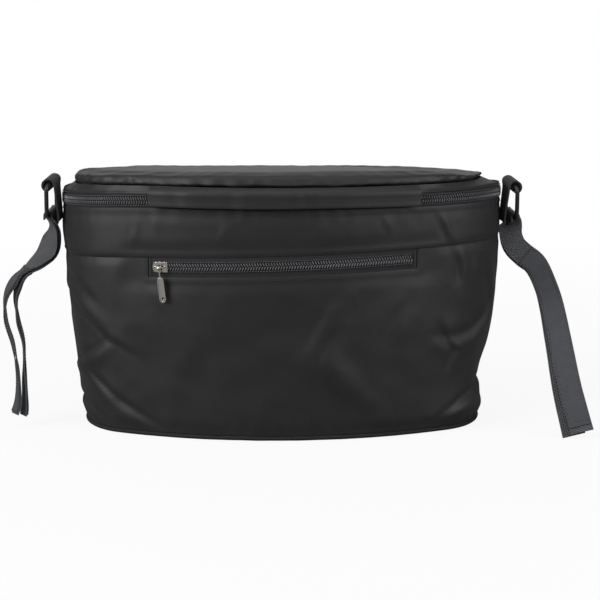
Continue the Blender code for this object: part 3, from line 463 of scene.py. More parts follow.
    def rim_point(self, s, height, offset=0.0):
        """Point of the zip's window, which follows the rim's droop whole, or of the gusset over it."""
        x, y, nx, ny = self.rim(s)[:4]
        droop = ease(self.droop(s), self.lid_droop(s), (height - self.rim_high) / self.gusset)
        return Vector((x - nx * offset, y - ny * offset, height - droop))


# Mesh tools

def deselect():
    """Nothing selected."""
    bpy.ops.object.select_all(action="DESELECT")


def only(thing):
    """One object selected and active."""
    deselect()
    thing.select_set(True)
    bpy.context.view_layer.objects.active = thing


def grid(name, columns, rows, place, flat=(1.0, 1.0)):
    """Grid primitive laid on a surface: place takes shares across and up; its UVs are the cloth's metres."""
    deselect()
    bpy.ops.mesh.primitive_grid_add(x_subdivisions=columns, y_subdivisions=rows, size=1, calc_uvs=True)
    thing = bpy.context.object
    thing.name = thing.data.name = name
    mesh = thing.data
    count = len(mesh.vertices)
    flat_points = np.zeros(count * 3, np.float32)
    mesh.vertices.foreach_get("co", flat_points)
    shares = flat_points.reshape(-1, 3)[:, :2] + 0.5
    points = np.array([place(float(u), float(w)) for u, w in shares], np.float32)
    mesh.vertices.foreach_set("co", points.ravel())
    corner = np.zeros(len(mesh.loops), np.int32)
    mesh.loops.foreach_get("vertex_index", corner)
    uv = shares[corner] * np.array(flat, np.float32)
    mesh.uv_layers[0].name = "cloth"
    mesh.uv_layers[0].data.foreach_set("uv", uv.astype(np.float32).ravel())
    mesh.update()
    return thing


def in_edit(thing, *steps):
    """Run edit-mode operators on all of a mesh."""
    only(thing)
    bpy.ops.object.mode_set(mode="EDIT")
    bpy.ops.mesh.select_all(action="SELECT")
    for step in steps:
        step()
    bpy.ops.object.mode_set(mode="OBJECT")


def weld(thing, distance=1e-5, outward=False):
    """Merge doubles, and turn the faces outwards where asked."""
    steps = [lambda: bpy.ops.mesh.remove_doubles(threshold=distance)]
    if outward:
        steps.append(lambda: bpy.ops.mesh.normals_make_consistent(inside=False))
    in_edit(thing, *steps)


def drop(thing, test):
    """Delete the faces whose middle passes the test."""
    only(thing)
    bpy.ops.object.mode_set(mode="EDIT")
    bpy.ops.mesh.select_mode(type="FACE")
    bpy.ops.mesh.select_all(action="DESELECT")
    bpy.ops.object.mode_set(mode="OBJECT")
    for face in thing.data.polygons:
        face.select = test(face)
    bpy.ops.object.mode_set(mode="EDIT")
    bpy.ops.mesh.delete(type="FACE")
    bpy.ops.mesh.select_mode(type="VERT")
    bpy.ops.object.mode_set(mode="OBJECT")


def modify(thing, kind, **settings):
    """Add a modifier and apply it."""
    only(thing)
    made = thing.modifiers.new(kind.title(), kind)
    for key, value in settings.items():
        setattr(made, key, value)
    bpy.ops.object.modifier_apply(modifier=made.name)


def soften(thing, angle=40):
    """Smooth shading with sharp edges past an angle."""
    only(thing)
    bpy.ops.object.shade_smooth_by_angle(angle=radians(angle))


def thicken(thing, thickness, offset=-1, angle=40):
    """Give a sheet its thickness and smooth shading."""
    modify(thing, "SOLIDIFY", thickness=thickness, offset=offset)
    soften(thing, angle)


def coat(thing, surface):
    """Put one material on a piece, in place of what it has."""
    thing.data.materials.clear()
    thing.data.materials.append(surface)


def dress(thing, surface, body, slot, *nodes):
    """Give a finished piece its material and the body it rides on, and hide the nodes it stands for; slot is
    not used.
    """
    coat(thing, surface)
    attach(thing, body)
    if nodes:
        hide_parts(*nodes)
    return thing


def repeat(name, unit, places):
    """One mesh from many copies of a small unit, each set by its own matrix."""
    points = np.array([v.co for v in unit.data.vertices])
    faces = [list(p.vertices) for p in unit.data.polygons]
    whole, polygons = [], []
    for k, place in enumerate(np.array(p) for p in places):
        whole.append(points @ place[:3, :3].T + place[:3, 3])
        polygons += [[i + k * len(points) for i in face] for face in faces]
    mesh = bpy.data.meshes.new(name)
    mesh.from_pydata(np.concatenate(whole).tolist(), [], polygons)
    mesh.shade_smooth()
    thing = bpy.data.objects.new(name, mesh)
    bpy.context.scene.collection.objects.link(thing)
    bpy.data.objects.remove(unit)
    return thing


def laid_along_x(unit):
    """Turn an upright unit so that it lies along x."""
    in_edit(unit, lambda: bpy.ops.transform.rotate(value=pi / 2, orient_axis="Y", center_override=(0, 0, 0)))
    return unit


def stitch_unit(reach, thick):
    """One stitch lying along x: a short round bar with sunk ends."""
    deselect()
    bpy.ops.mesh.primitive_uv_sphere_add(segments=6, ring_count=5, radius=0.5)
    unit = laid_along_x(bpy.context.object)
    unit.data.transform(Matrix.Diagonal((reach, thick, thick, 1)))
    return unit


def facing(point, along, out):
    """Matrix of a place: x along, z out."""
    along = along.normalized()
    out = (out - along * out.dot(along)).normalized()
    across = out.cross(along)
    made = Matrix((along, across, out)).transposed().to_4x4()
    made.translation = point
    return made


def sew(name, surface_at, first, last, pitch, thick, sink=0.0):
    """A row of stitches between two runs: surface_at gives the point, direction and normal at a run."""
    count = max(2, int(abs(last - first) / pitch))
    places = []
    for i in range(count):
        point, along, out = surface_at(first + (last - first) * (i + 0.5) / count)
        places.append(facing(point - out * sink, along, out))
    return repeat(name, stitch_unit(abs(last - first) / count * 0.78, thick), places)


def surface_row(place, level, lift=0.0):
    """Row on a wall surface: point, direction and normal at a run."""
    def at(s):
        height = level(s)
        here, step = place(s, height), 0.0015
        along = place(s + step, level(s + step)) - place(s - step, level(s - step))
        up = place(s, height + step) - place(s, height - step)
        out = along.cross(up).normalized()
        return here + out * lift, along.normalized(), out
    return at


# Materials

def linear(code):
    """Linear colour from an sRGB hex value."""
    parts = [int(code[i:i + 2], 16) / 255 for i in (0, 2, 4)]
    return tuple(p / 12.92 if p <= 0.04045 else ((p + 0.055) / 1.055) ** 2.4 for p in parts) + (1.0,)


def add(tree, kind, inputs=None, **settings):
    """Add a node with its settings, and set or link its inputs by name or number."""
    made = tree.nodes.new(kind)
    for key, value in settings.items():
        setattr(made, key, value)
    for key, value in (inputs or {}).items():
        if isinstance(value, bpy.types.Node):
            value = value.outputs[0]
        if isinstance(value, bpy.types.NodeSocket):
            tree.links.new(value, made.inputs[key])
        else:
            made.inputs[key].default_value = value
    return made


def calc(tree, operation, *values):
    """Maths node on numbers, nodes or sockets."""
    return add(tree, "ShaderNodeMath", dict(enumerate(values)), operation=operation)


def speckle(tree, place, scale, detail):
    """Noise node over a place."""
    return add(tree, "ShaderNodeTexNoise", {"Vector": place, "Scale": scale, "Detail": detail})


def start(name):
    """New material: returns it, its tree, its shader and the socket of the piece's own space."""
    made = bpy.data.materials.new(name)
    made.use_nodes = True
    tree = made.node_tree
    return made, tree, tree.nodes["Principled BSDF"], add(tree, "ShaderNodeTexCoord").outputs["Object"]


def bumped(tree, relief, strength, distance):
    """Normal of a relief."""
    return add(tree, "ShaderNodeBump", {"Strength": strength, "Distance": distance, "Height": relief})


def connect(tree, shader, **inputs):
    """Link or set a shader's inputs, whose names have spaces where these have underscores."""
    for key, value in inputs.items():
        socket = shader.inputs[key.replace("_", " ")]
        if isinstance(value, (int, float)):
            socket.default_value = value
        else:
            tree.links.new(value.outputs[0] if isinstance(value, bpy.types.Node) else value, socket)


def tint(tree, share, dark, light):
    """Colour between two hex values by a share."""
    mixed = add(tree, "ShaderNodeMix", {"Factor": share}, data_type="RGBA")
    first, second = [s for s in mixed.inputs if s.type == "RGBA"]
    first.default_value, second.default_value = linear(dark), linear(light)
    return next(s for s in mixed.outputs if s.type == "RGBA")


def shade_of(code, factor):
    """The same hex colour, lighter or darker."""
    parts = [min(255, max(0, round(int(code[i:i + 2], 16) * factor))) for i in (0, 2, 4)]
    return "".join(f"{p:02X}" for p in parts)


def varied(tree, share, code, spread):
    """Colour that wanders a little below and above a hex value by a share."""
    return tint(tree, share, shade_of(code, 1 - spread), shade_of(code, 1 + spread))


def weave(tree, where, across, along):
    """Height of a plain weave with threads of the given widths in metres."""
    parts = add(tree, "ShaderNodeSeparateXYZ", {0: where})
    waves = [calc(tree, "SINE", calc(tree, "MULTIPLY", parts.outputs[axis], pi / size))
             for axis, size in (("X", across), ("Y", along))]
    over = calc(tree, "GREATER_THAN", calc(tree, "MULTIPLY", *waves), 0.0)
    humps = [calc(tree, "ABSOLUTE", wave) for wave in waves]
    return add(tree, "ShaderNodeMix", {0: over, 2: humps[0], 3: humps[1]}, data_type="FLOAT")


def cloth_uv(tree):
    """The piece's own cloth metres."""
    return add(tree, "ShaderNodeUVMap", uv_map="cloth")


def woven_polyester(colours, on_object=False):
    """Coated polyester oxford: matt black yarns with a slight sheen and a fine grain."""
    made, tree, shader, place = start("woven polyester on the pad" if on_object else "woven polyester")
    # Yarns are 0.35 mm apart, drawn at 0.9 mm so that the grain shows at the render's size
    height = weave(tree, place if on_object else cloth_uv(tree), 0.0009, 0.0009)
    grain, cloud = speckle(tree, place, 900.0, 2.0), speckle(tree, place, 22.0, 3.0)
    shares = calc(tree, "MULTIPLY_ADD", cloud, 0.45, calc(tree, "MULTIPLY", grain, 0.55))
    colour = tint(tree, shares, shade_of(colours.cloth, 0.84), shade_of(colours.cloth, 1.22))
    gloss = add(tree, "ShaderNodeMapRange", {"Value": cloud, "To Min": 0.46, "To Max": 0.58})
    relief = calc(tree, "MULTIPLY_ADD", grain, 0.5, height)
    connect(tree, shader, Base_Color=colour, Roughness=gloss, Normal=bumped(tree, relief, 0.35, 0.00015),
            Sheen_Weight=0.05, Sheen_Roughness=0.4)
    return made


def taffeta_lining(colours):
    """Thin taffeta lining: smooth grey weave with a soft gloss."""
    made, tree, shader, place = start("taffeta lining")
    # Ripstop squares of 5 mm over a 0.6 mm weave
    fine, squares = (weave(tree, cloth_uv(tree), size, size) for size in (0.0006, 0.005))
    colour = varied(tree, speckle(tree, place, 30.0, 3.0), colours.lining, 0.12)
    relief = calc(tree, "MULTIPLY_ADD", squares, 0.25, fine)
    connect(tree, shader, Base_Color=colour, Roughness=0.45, Normal=bumped(tree, relief, 0.25, 0.0002))
    return made


def ribbed(name, code, rough, strength, rib, cross=None, sheen=0.05, spread=0.25):
    """Narrow woven goods: ribs along the length crossed by weft threads, coloured lighter on the threads'
    crowns and darker in the grooves as painted light and shade, over a random tone.
    """
    made, tree, shader, place = start(name)
    height = weave(tree, cloth_uv(tree), rib, cross or rib)
    grain, cloud = speckle(tree, place, 700.0, 2.0), speckle(tree, place, 45.0, 2.0)
    # Colour follows the weave's height: painted light on the crowns, painted shade in the grooves, and random
    # tone from the cloud
    shares = calc(tree, "MULTIPLY_ADD", cloud, 0.5, calc(tree, "MULTIPLY", height, 0.5))
    relief = calc(tree, "MULTIPLY_ADD", grain, 0.35, height)
    connect(tree, shader, Base_Color=varied(tree, shares, code, spread), Roughness=rough, Sheen_Weight=sheen,
            Normal=bumped(tree, relief, strength, 0.0003))
    return made


def plain(name, code, rough, scale, strength, metallic=0.0, spread=0.12, deep=0.0001):
    """Surface with a fine grain: moulded, foamed, spun or plated, by its numbers."""
    made, tree, shader, place = start(name)
    cloud = speckle(tree, place, scale / 9, 2.0)
    gloss = add(tree, "ShaderNodeMapRange", {"Value": cloud, "To Min": rough * 0.8, "To Max": rough * 1.25})
    connect(tree, shader, Base_Color=varied(tree, cloud, code, spread), Roughness=gloss, Metallic=metallic,
            Normal=bumped(tree, speckle(tree, place, scale, 3.0), strength, deep))
    return made


FINISH_NAMES = {}


def finishes():
    """All materials of the part, made once and kept by name."""
    colours = bpy.context.scene.finish_colours
    if "woven polyester" in bpy.data.materials:
        return {key: bpy.data.materials[name] for key, name in FINISH_NAMES.items()}
    made = {
        "cloth": woven_polyester(colours),
        "pad": woven_polyester(colours, on_object=True),
        # Piping: the same cloth cut on the bias, matt, its colour darkened as painted shade along the base
        "piping": ribbed("bias cut piping", shade_of(colours.cloth, 0.8), rough=0.8, strength=0.3,
                         rib=0.0009, sheen=0.0),
        "lining": taffeta_lining(colours),
        # Zip tape: herringbone of fine polyester, close and flat
        "tape": ribbed("woven zip tape", colours.tape, rough=0.7, strength=0.35, rib=0.0008),
        # Polypropylene webbing: thick ribs that catch the light along the strap, their light and shade also
        # painted into the colour by a wide spread
        "webbing": ribbed("polypropylene webbing", colours.webbing, rough=0.5, strength=1.0, rib=0.0016,
                          cross=0.0013, sheen=0.1, spread=0.45),
        # Narrow binding tape of the loops: the same fibre, woven finer and darker
        "band": ribbed("woven loop band", shade_of(colours.webbing, 0.62), rough=0.6, strength=0.6,
                       rib=0.0012, spread=0.35),
        # Hook tape: dense short hooks, seen as a fine matt nap
        "hook": plain("hook tape", colours.fastening, rough=0.75, scale=1400.0, strength=0.8,
                      spread=0.15, deep=0.0003),
        # Loop tape: brushed loops, softer and duller than the hooks
        "loop": plain("brushed loop tape", shade_of(colours.fastening, 0.9), rough=0.9, scale=900.0,
                      strength=0.6, spread=0.2, deep=0.0004),
        # Nylon coil: drawn monofilament, smooth with a bright edge; its grey, lighter than black nylon,
        # paints highlights on the teeth
        "coil": plain("nylon coil", colours.coil, rough=0.30, scale=500.0, strength=0.05),
        # Spun polyester sewing thread with a little gloss
        "thread": plain("spun sewing thread", colours.thread, rough=0.55, scale=1500.0, strength=0.3),
        # Glossy filament thread over the coils, which shows as a row of bright dots: partly its gloss, partly
        # painted highlights from a grey lighter than black thread
        "chain_thread": plain("filament chain thread", colours.chain_thread, rough=0.35, scale=1500.0,
                              strength=0.1),
        # Moulded nylon: even black with a faint grain from its mould
        "moulded": plain("moulded nylon", colours.moulded, rough=0.34, scale=800.0, strength=0.12),
        # Nickel plate on die-cast zinc: bright, with small waves left by tumbling
        "nickel": plain("nickel plated zinc", colours.nickel, rough=0.13, scale=420.0, strength=0.45,
                        metallic=1.0, spread=0.05, deep=0.0002),
        # Closed-cell polyethylene foam: matt, with cells of about a millimetre
        "foam": plain("polyethylene foam", colours.foam, rough=0.9, scale=1000.0, strength=0.7,
                      spread=0.08, deep=0.0004),
        # Pressed board: dull, with short fibres
        "board": plain("stiffening board", colours.board, rough=0.8, scale=400.0, strength=0.3,
                       spread=0.1, deep=0.0002),
    }
    FINISH_NAMES.update({key: surface.name for key, surface in made.items()})
    return made


# Walls, base and inside

def sheet_between(name, first, last, low, high, place, step=STEP, thick=None):
    """Cloth between two runs and two heights, low and high as functions of the run."""
    columns = max(2, round((last - first) / step))
    tall = max(high(s) - low(s) for s in (first, (first + last) / 2, last))
    rows = max(2, round(tall / step))

    def spot(u, w):
        s = first + (last - first) * u
        return place(s, low(s) + (high(s) - low(s)) * w)

    thing = grid(name, columns, rows, spot, (last - first, tall))
    if thick:
        thicken(thing, thick)
    else:
        soften(thing)
    return thing


class OBJECT_OT_organizer_walls(bpy.types.Operator):
    """Outer cloth panels of the walls, with their seams and topstitching"""
    bl_idname = "object.organizer_walls"
    bl_label = "Wall panels"

    def execute(self, context):
        shell = Shell(context.scene)
        made = finishes()
        seam = shell.pocket.above

        def low_line(s):
            return shell.pocket_level(s, seam - SEAM / 2)

        def high_line(s):
            return shell.pocket_level(s, seam + SEAM / 2)

        first, last = -shell.hinge_s, shell.hinge_s

        def tucked(s, height):
            """Upper panel: its lower edge lies rolled over the pocket panel."""
            edge = height - high_line(s)
            lift = 0.0006 * bump(edge - 0.0022, 0.0018) - 0.0003 * bump(edge, 0.0008)
            lift *= ease(1, 0.2, (s - 0.12) / 0.04)
            top = 0.0007 * bump(shell.rim_low - height - 0.0016, 0.0014)
            return shell.outer(s, height, -lift - top)

        upper = sheet_between("front_upper_panel_cloth", first, last, high_line,
                              lambda s: shell.rim_low, tucked, thick=shell.fabric)
        dress(upper, made["cloth"], "bag", "fabric", "front_upper_panel")

        left, right = shell.run_at(shell.pocket.left), shell.run_at(shell.pocket.right)
        runs = []
        for start_s, end_s in ((first, left), (left, right), (right, last)):
            count = round((end_s - start_s) / STEP)
            runs += [start_s + (end_s - start_s) * i / count for i in range(count)]
        runs.append(last)
        window_low = -shell.pocket.below
        columns, body_rows, window_rows = len(runs) - 1, 52, 6
        rows = body_rows + window_rows

        def pocket_spot(u, w):
            s = runs[round(u * columns)]
            row = round(w * rows)
            sill = shell.pocket_level(s, window_low)
            if row <= body_rows:
                height = shell.wall_foot + (sill - shell.wall_foot) * row / body_rows
            else:
                height = sill + (low_line(s) - sill) * (row - body_rows) / window_rows
            lift = 0.0
            if left - 0.004 < s < right + 0.004:
                lift += 0.0006 * bump(height - sill + 0.0020, 0.0016) - 0.0002 * bump(height - sill, 0.0008)
            for edge, way in ((left, -1), (right, 1)):
                if height > sill - 0.002:
                    lift += 0.0005 * bump((s - edge) * way - 0.0020, 0.0016)
            return shell.outer(s, height, -lift)

        panel = grid("front_pocket_panel_cloth", columns, rows, pocket_spot, (last - first, 0.150))
        inside = {(i, j) for i in range(columns) for j in range(body_rows, rows)
                  if left - 1e-6 <= runs[i] and runs[i + 1] <= right + 1e-6}
        drop(panel, lambda face: (face.index % columns, face.index // columns) in inside)
        thicken(panel, shell.fabric)
        dress(panel, made["cloth"], "bag", "fabric", "front_pocket_panel")

        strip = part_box("hinge_strip_lower")[0].z
        back = sheet_between("back_panel_cloth", *shell.back_span, lambda s: shell.wall_foot,
                             lambda s: strip - SEAM, shell.outer, thick=shell.fabric)
        dress(back, made["cloth"], "bag", "fabric", "back_panel")

        ends = shell.hinge_s - STITCH_END
        for name, level, start_s, end_s in (
                ("seam", lambda s: high_line(s) + 0.0034, -ends, ends),
                ("window_foot", lambda s: shell.pocket_level(s, window_low - 0.0030),
                 left - 0.004, right + 0.004),
                ("rim", lambda s: shell.rim_low - 0.0030, -ends, ends)):
            at = surface_row(shell.outer, level, 0.00055)
            row = sew("wall_stitches_" + name, at, start_s, end_s, STITCH, 0.00042)
            dress(row, made["thread"], "bag", "fabric")
        return {"FINISHED"}


def disc(name, shell, place, rows=14, columns=150):
    """Sheet that fills the outline: place takes a run and the share from the rim to the spine."""
    thing = grid(name, columns, rows, lambda u, w: place(shell.around(u), w))
    uv = thing.data.uv_layers["cloth"].data
    for loop in thing.data.loops:
        point = thing.data.vertices[loop.vertex_index].co
        uv[loop.index].uv = (point.x, point.y)
    weld(thing, 2e-4)
    return thing


def spine(shell, point):
    """Nearest point of the line that a disc's rows close on."""
    reach = shell.half - SPINE_END
    return Vector((max(-reach, min(reach, point.x)), SPINE_PLACE, point.z))


class OBJECT_OT_organizer_base(bpy.types.Operator):
    """Base cloth with its stiff board, and the piping round it"""
    bl_idname = "object.organizer_base"
    bl_label = "Base"

    def execute(self, context):
        shell = Shell(context.scene)
        made = finishes()
        board_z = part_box("base_board")[0].z

        def underside(s, w):
            rim = shell.wall(s, 0.0, 0.0032)
            point = rim.lerp(spine(shell, rim), w)
            point.z = board_z - SEAM - 0.0002 * bump(w, 0.1)
            return point

        base = disc("base_cloth", shell, underside, 10)
        thicken(base, 0.0011)
        dress(base, made["cloth"], "bag", "fabric", "base_panel")

        radius = 0.0018

        def tube(u, w):
            s = shell.around(u)
            (nx, ny), middle = shell.normal(s), shell.wall(s, 0.0)
            swell = radius * (1 + 0.05 * wander(s * 90, 0.5, 1.5))
            turn = 2 * pi * w
            out = swell * cos(turn)
            lift = 0.0004 * wander(s * 25, 7.5, 1.5)
            height = radius + SEAM + max(0.0, lift) + swell * sin(turn)
            return Vector((middle.x + nx * out, middle.y + ny * out, height))

        piping = grid("base_piping", 330, 10, tube, (2 * shell.half_run, 2 * pi * radius))
        weld(piping, 1e-5, outward=True)
        soften(piping)
        dress(piping, made["piping"], "bag", "fabric", "bottom_piping")
        coat(frame["nodes"]["base_board"], made["board"])
        return {"FINISHED"}


class OBJECT_OT_organizer_inside(bpy.types.Operator):
    """Foam, lining, floor and bound edge inside the walls, and the pocket's bag"""
    bl_idname = "object.organizer_inside"
    bl_label = "Inside"

    def execute(self, context):
        shell = Shell(context.scene)
        made = finishes()

        def layer(name, offset, thick, finish, slot, node, low, high, step, ripple):
            def spot(s, height):
                soft = ripple * (wander(s * 22, height * 22, 5.0) + 0.6)
                soft += ripple * 0.5 * wander(s * 60, height * 35, 8.0)
                calm = ease(0, 1, (high - height) / 0.02) * ease(0, 1, (height - low) / 0.015)
                dent = max(0.0, -0.0008 - shell.relief(s, height))
                return shell.wall(s, height, offset + dent + max(0.0, soft) * calm)
            thing = sheet_between(name, -shell.half_run, shell.half_run, lambda s: low, lambda s: high,
                                  spot, step)
            weld(thing)
            thicken(thing, thick)
            return dress(thing, made[finish], "bag", slot, node)

        foot = shell.wall_foot
        layer("wall_foam_layer", offset=0.0040, thick=0.0030, finish="foam", slot="foam", node="wall_foam",
              low=foot, high=shell.foam_top, step=0.008, ripple=0.0)
        lining = layer("wall_lining_cloth", offset=0.0073, thick=THIN, finish="lining", slot="lining",
                       node="wall_lining", low=foot, high=shell.foam_top, step=0.0040, ripple=0.0016)
        lining.data.flip_normals()
        binding_low, binding_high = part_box("rim_binding")
        middle = (binding_low.z + binding_high.z) / 2

        def bind(u, w):
            """Over the rim: from the wall's face, up and over, to the lining's face."""
            s, turn = shell.around(u), pi * w
            x, y, nx, ny = shell.rim(s)[:4]
            inwards = (0.0032 + 0.0081) / 2 - 0.0023 * cos(turn) + 0.00015 * ripple(s, 0.006)
            height = middle - 0.0014 + 0.0024 * sin(turn) ** 0.6
            return Vector((x - nx * inwards, y - ny * inwards, height - shell.droop(s)))

        binding = grid("rim_binding_tape", 330, 8, bind, (2 * shell.half_run, 0.010))
        weld(binding)
        thicken(binding, THIN, 1)
        dress(binding, made["tape"], "bag", "lining", "rim_binding")

        floor_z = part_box("floor_lining")[1].z

        def inside_floor(s, w):
            rim = shell.wall(s, 0.0, 0.0086)
            point = rim.lerp(spine(shell, rim), w)
            rise = 0.0007 * max(0.0, wander(point.x * 20, point.y * 20, 2.0) + 0.3)
            point.z = floor_z + rise * ease(0, 1, w / 0.15) + 0.0012 * bump(w, 0.05)
            return point

        ground = disc("floor_lining_cloth", shell, inside_floor, 16)
        thicken(ground, THIN)
        dress(ground, made["lining"], "bag", "lining", "floor_lining")

        left, right = shell.run_at(shell.pocket.left) - 0.014, shell.run_at(shell.pocket.right) + 0.014
        bag_floor = shell.pocket.height - shell.pocket.depth
        sack = sheet_between("pocket_bag_cloth", left, right, lambda s: bag_floor,
                             lambda s: shell.pocket_level(s, shell.pocket.above + 0.008),
                             lambda s, h: shell.wall(s, h, 0.0033), 0.005, thick=0.0004)
        dress(sack, made["lining"], "bag", "lining", "pocket_lining")
        return {"FINISHED"}


# Zips

def tooth_unit(zip_sizes):
    """One turn of a coil seen from its face: a slanted round bar with a wider head, along x."""
    deselect()
    bpy.ops.mesh.primitive_cylinder_add(vertices=8, radius=0.5, depth=1.0)
    unit = laid_along_x(bpy.context.object)
    modify(unit, "BEVEL", width=0.2, segments=2, limit_method="ANGLE")
    reach = zip_sizes.coil + zip_sizes.gap * 0.9
    unit.data.transform(Matrix.Diagonal((reach, zip_sizes.pitch * 0.44, zip_sizes.proud * 0.95, 1)))
    for vertex in unit.data.vertices:
        if vertex.co.x > reach * 0.2:
            vertex.co.y *= 1.25
    return unit


def coil(name, zips, at, first, last, side, shift):
    """Half a chain of teeth along a run: side is +1 over the middle, -1 under it."""
    count = int((last - first) / zips.pitch)
    lean = radians(24)
    places = []
    for i in range(count):
        s = first + (i + 0.5 + shift) * zips.pitch
        if s > last:
            break
        middle = side * (zips.gap * 0.1 + (zips.coil + zips.gap * 0.9) / 2)
        point, along, out = at(s, middle)
        up = out.cross(along)
        head = (-up * side * cos(lean) + along * sin(lean)).normalized()
        places.append(facing(point, head, out))
    return repeat(name, tooth_unit(zips), places)


def zip_side(kind, zips, place, edge, first, last, side, nodes, made, body, shift):
    """Tape, coil and coil stitches of one side of a zip. place takes a run and a rise over its middle."""
    face = 0.0005
    lower, upper = sorted((side * zips.gap, side * edge))
    name = kind + ("_upper" if side > 0 else "_lower")

    def tape_spot(s, rise):
        cord = 0.0004 * bump(abs(rise) - zips.gap - zips.coil - 0.0009, 0.0007)
        return place(s, rise, face - cord)

    tape = sheet_between(name + "_tape_cloth", first, last, lambda s: lower, lambda s: upper,
                         tape_spot, 0.0011, thick=zips.tape)
    dress(tape, made["tape"], body, "webbing", nodes[0])

    def tooth_at(s, rise):
        here = place(s, rise, face - SEAM - zips.proud * 0.45)
        along = place(s + 0.001, rise, face) - place(s - 0.001, rise, face)
        up = place(s, rise + 0.001, face) - place(s, rise - 0.001, face)
        return here, along.normalized(), along.cross(up).normalized()

    # The lid's teeth end earlier at the hinge, and stay clear of the bag's when it opens
    ends = 0.008 if body == "lid" else 0.001
    teeth = coil(name + "_coil_teeth", zips, tooth_at, first + ends, last - ends, side, shift)
    dress(teeth, made["coil"], body, "coil", nodes[1])

    def row(s):
        return tooth_at(s, side * (zips.gap + zips.coil + 0.0009))

    seams = sew(name + "_coil_stitches", row, first + 0.001, last - 0.001, zips.pitch, 0.0008, -0.0001)
    dress(seams, made["chain_thread"], body, "webbing")


class OBJECT_OT_organizer_pocket_zip(bpy.types.Operator):
    """Pocket zip in its window: tapes, coil teeth and stitched end bars"""
    bl_idname = "object.organizer_pocket_zip"
    bl_label = "Pocket zip"

    def execute(self, context):
        shell = Shell(context.scene)
        zips = context.scene.zip_sizes
        made = finishes()
        left, right = shell.run_at(shell.pocket.left) + SEAM, shell.run_at(shell.pocket.right) - SEAM

        def place(s, rise, offset):
            return shell.wall(s, shell.pocket_level(s, rise), offset)

        for side, edge, shift in ((1, shell.pocket.above, 0.0), (-1, shell.pocket.below, 0.5)):
            word = "upper" if side > 0 else "lower"
            zip_side("pocket_zip", zips, place, edge + 0.004, left + zips.end_bar,
                     right - zips.end_bar, side,
                     (f"pocket_zip_{word}_tape", f"pocket_zip_{word}_coil"), made, "bag", shift)
        for word, start_s in (("left", left), ("right", right - zips.end_bar)):
            def bar(s, rise):
                ridge = 0.0004 * sin(pi * (s - start_s) / zips.end_bar)
                return place(s, rise, 0.0004 - ridge)
            bar_cloth = sheet_between(f"pocket_end_bar_{word}_cloth", start_s, start_s + zips.end_bar,
                                      lambda s: SEAM - shell.pocket.below,
                                      lambda s: shell.pocket.above - SEAM, bar, 0.0006, thick=0.0008)
            dress(bar_cloth, made["cloth"], "bag", "fabric", f"pocket_end_bar_{word}")
        return {"FINISHED"}


class OBJECT_OT_organizer_main_zip(bpy.types.Operator):
    """Main zip round the front and sides: tapes, coil teeth and coil stitches on bag and lid"""
    bl_idname = "object.organizer_main_zip"
    bl_label = "Main zip"

    def execute(self, context):
        shell = Shell(context.scene)
        zips = context.scene.zip_sizes
        made = finishes()

        def place(s, rise, offset):
            return shell.rim_point(s, shell.zip_height + rise, offset)

        for side, body, shift in ((1, "lid", 0.0), (-1, "bag", 0.5)):
            word = "upper" if side > 0 else "lower"
            zip_side("main_zip", zips, place, shell.window + (0.002 if side > 0 else zips.tuck),
                     -shell.hinge_s + SEAM, shell.hinge_s - SEAM, side,
                     (f"main_zip_{word}_tape", f"main_zip_{word}_coil"), made, body, shift)
        return {"FINISHED"}


# Lid

def round_back(shell, s):
    """Share of the way round a back corner: 0 at the side, 1 on the back."""
    return min(1.0, max(0.0, (abs(shell.wrapped(s)) - shell.side_start - shell.side_run) / shell.back_run))


def pad_depth(shell, y):
    """Thickness of the pad by its place from front to back."""
    depth = shell.front_reach + shell.back_reach
    return shell.lid.pad - shell.lid.back_drop * (y + shell.front_reach) / depth


def pad_height(shell, s, y):
    """Height of the pad's edge over its seam, lower at the right corner."""
    if s < 0:
        return max(pad_depth(shell, y), ease(shell.lid.left_end, 0.0, round_back(shell, s)))
    thin = ease(0.32, 1.0, round_back(shell, s))
    return max(0.0030, pad_depth(shell, y) * ease(1, thin, (abs(s) - 0.10) / (shell.side_start - 0.08)))


def lid_top(shell, point):
    """Height of the pad's top, lower over the drooping left rim and at the right end."""
    left = 0.0012 * ease(0, 1, (-point.x - 0.135) / 0.04)
    taper = ease(1, 0.35, (point.x - 0.085) / 0.085)
    slump = shell.back_sag * bump(point.x - shell.half, 0.10) * ease(0, 1, (point.y + 0.03) / 0.09)
    return shell.lid_seam - left - slump + max(0.0028, pad_depth(shell, point.y) * taper) + 0.0004


def pad_surface(shell, s, w):
    """Closed pad: w runs from the spine below, out to the seam, up the edge and in to the spine on top."""
    seam_z = shell.lid_seam + SEAM
    rim = shell.rim_point(s, seam_z, shell.inset(s) + 0.0008)
    tall = pad_height(shell, shell.wrapped(s), rim.y)
    if w <= 0.25:
        point = spine(shell, rim).lerp(rim, w / 0.25)
        point.z = rim.z - 0.001 * (1 - w / 0.25)
        return point
    nx, ny = shell.normal(s)
    if w <= 0.55:
        turn = pi / 2 * (w - 0.25) / 0.30
        swell = 0.0016 * sin(pi * (w - 0.25) / 0.30)
        inwards = tall * 0.55 * (1 - cos(turn)) - swell
        return Vector((rim.x - nx * inwards, rim.y - ny * inwards, rim.z + tall * sin(turn)))
    inwards = tall * 0.55
    edge = Vector((rim.x - nx * inwards, rim.y - ny * inwards, rim.z + tall))
    share = (w - 0.55) / 0.45
    point = edge.lerp(spine(shell, edge), share)
    climb = ease(0, 1, share / ease(0.34 if s < 0 else 0.55, 0.45, round_back(shell, s)))
    point.z = edge.z + (lid_top(shell, point) - edge.z) * climb
    return point


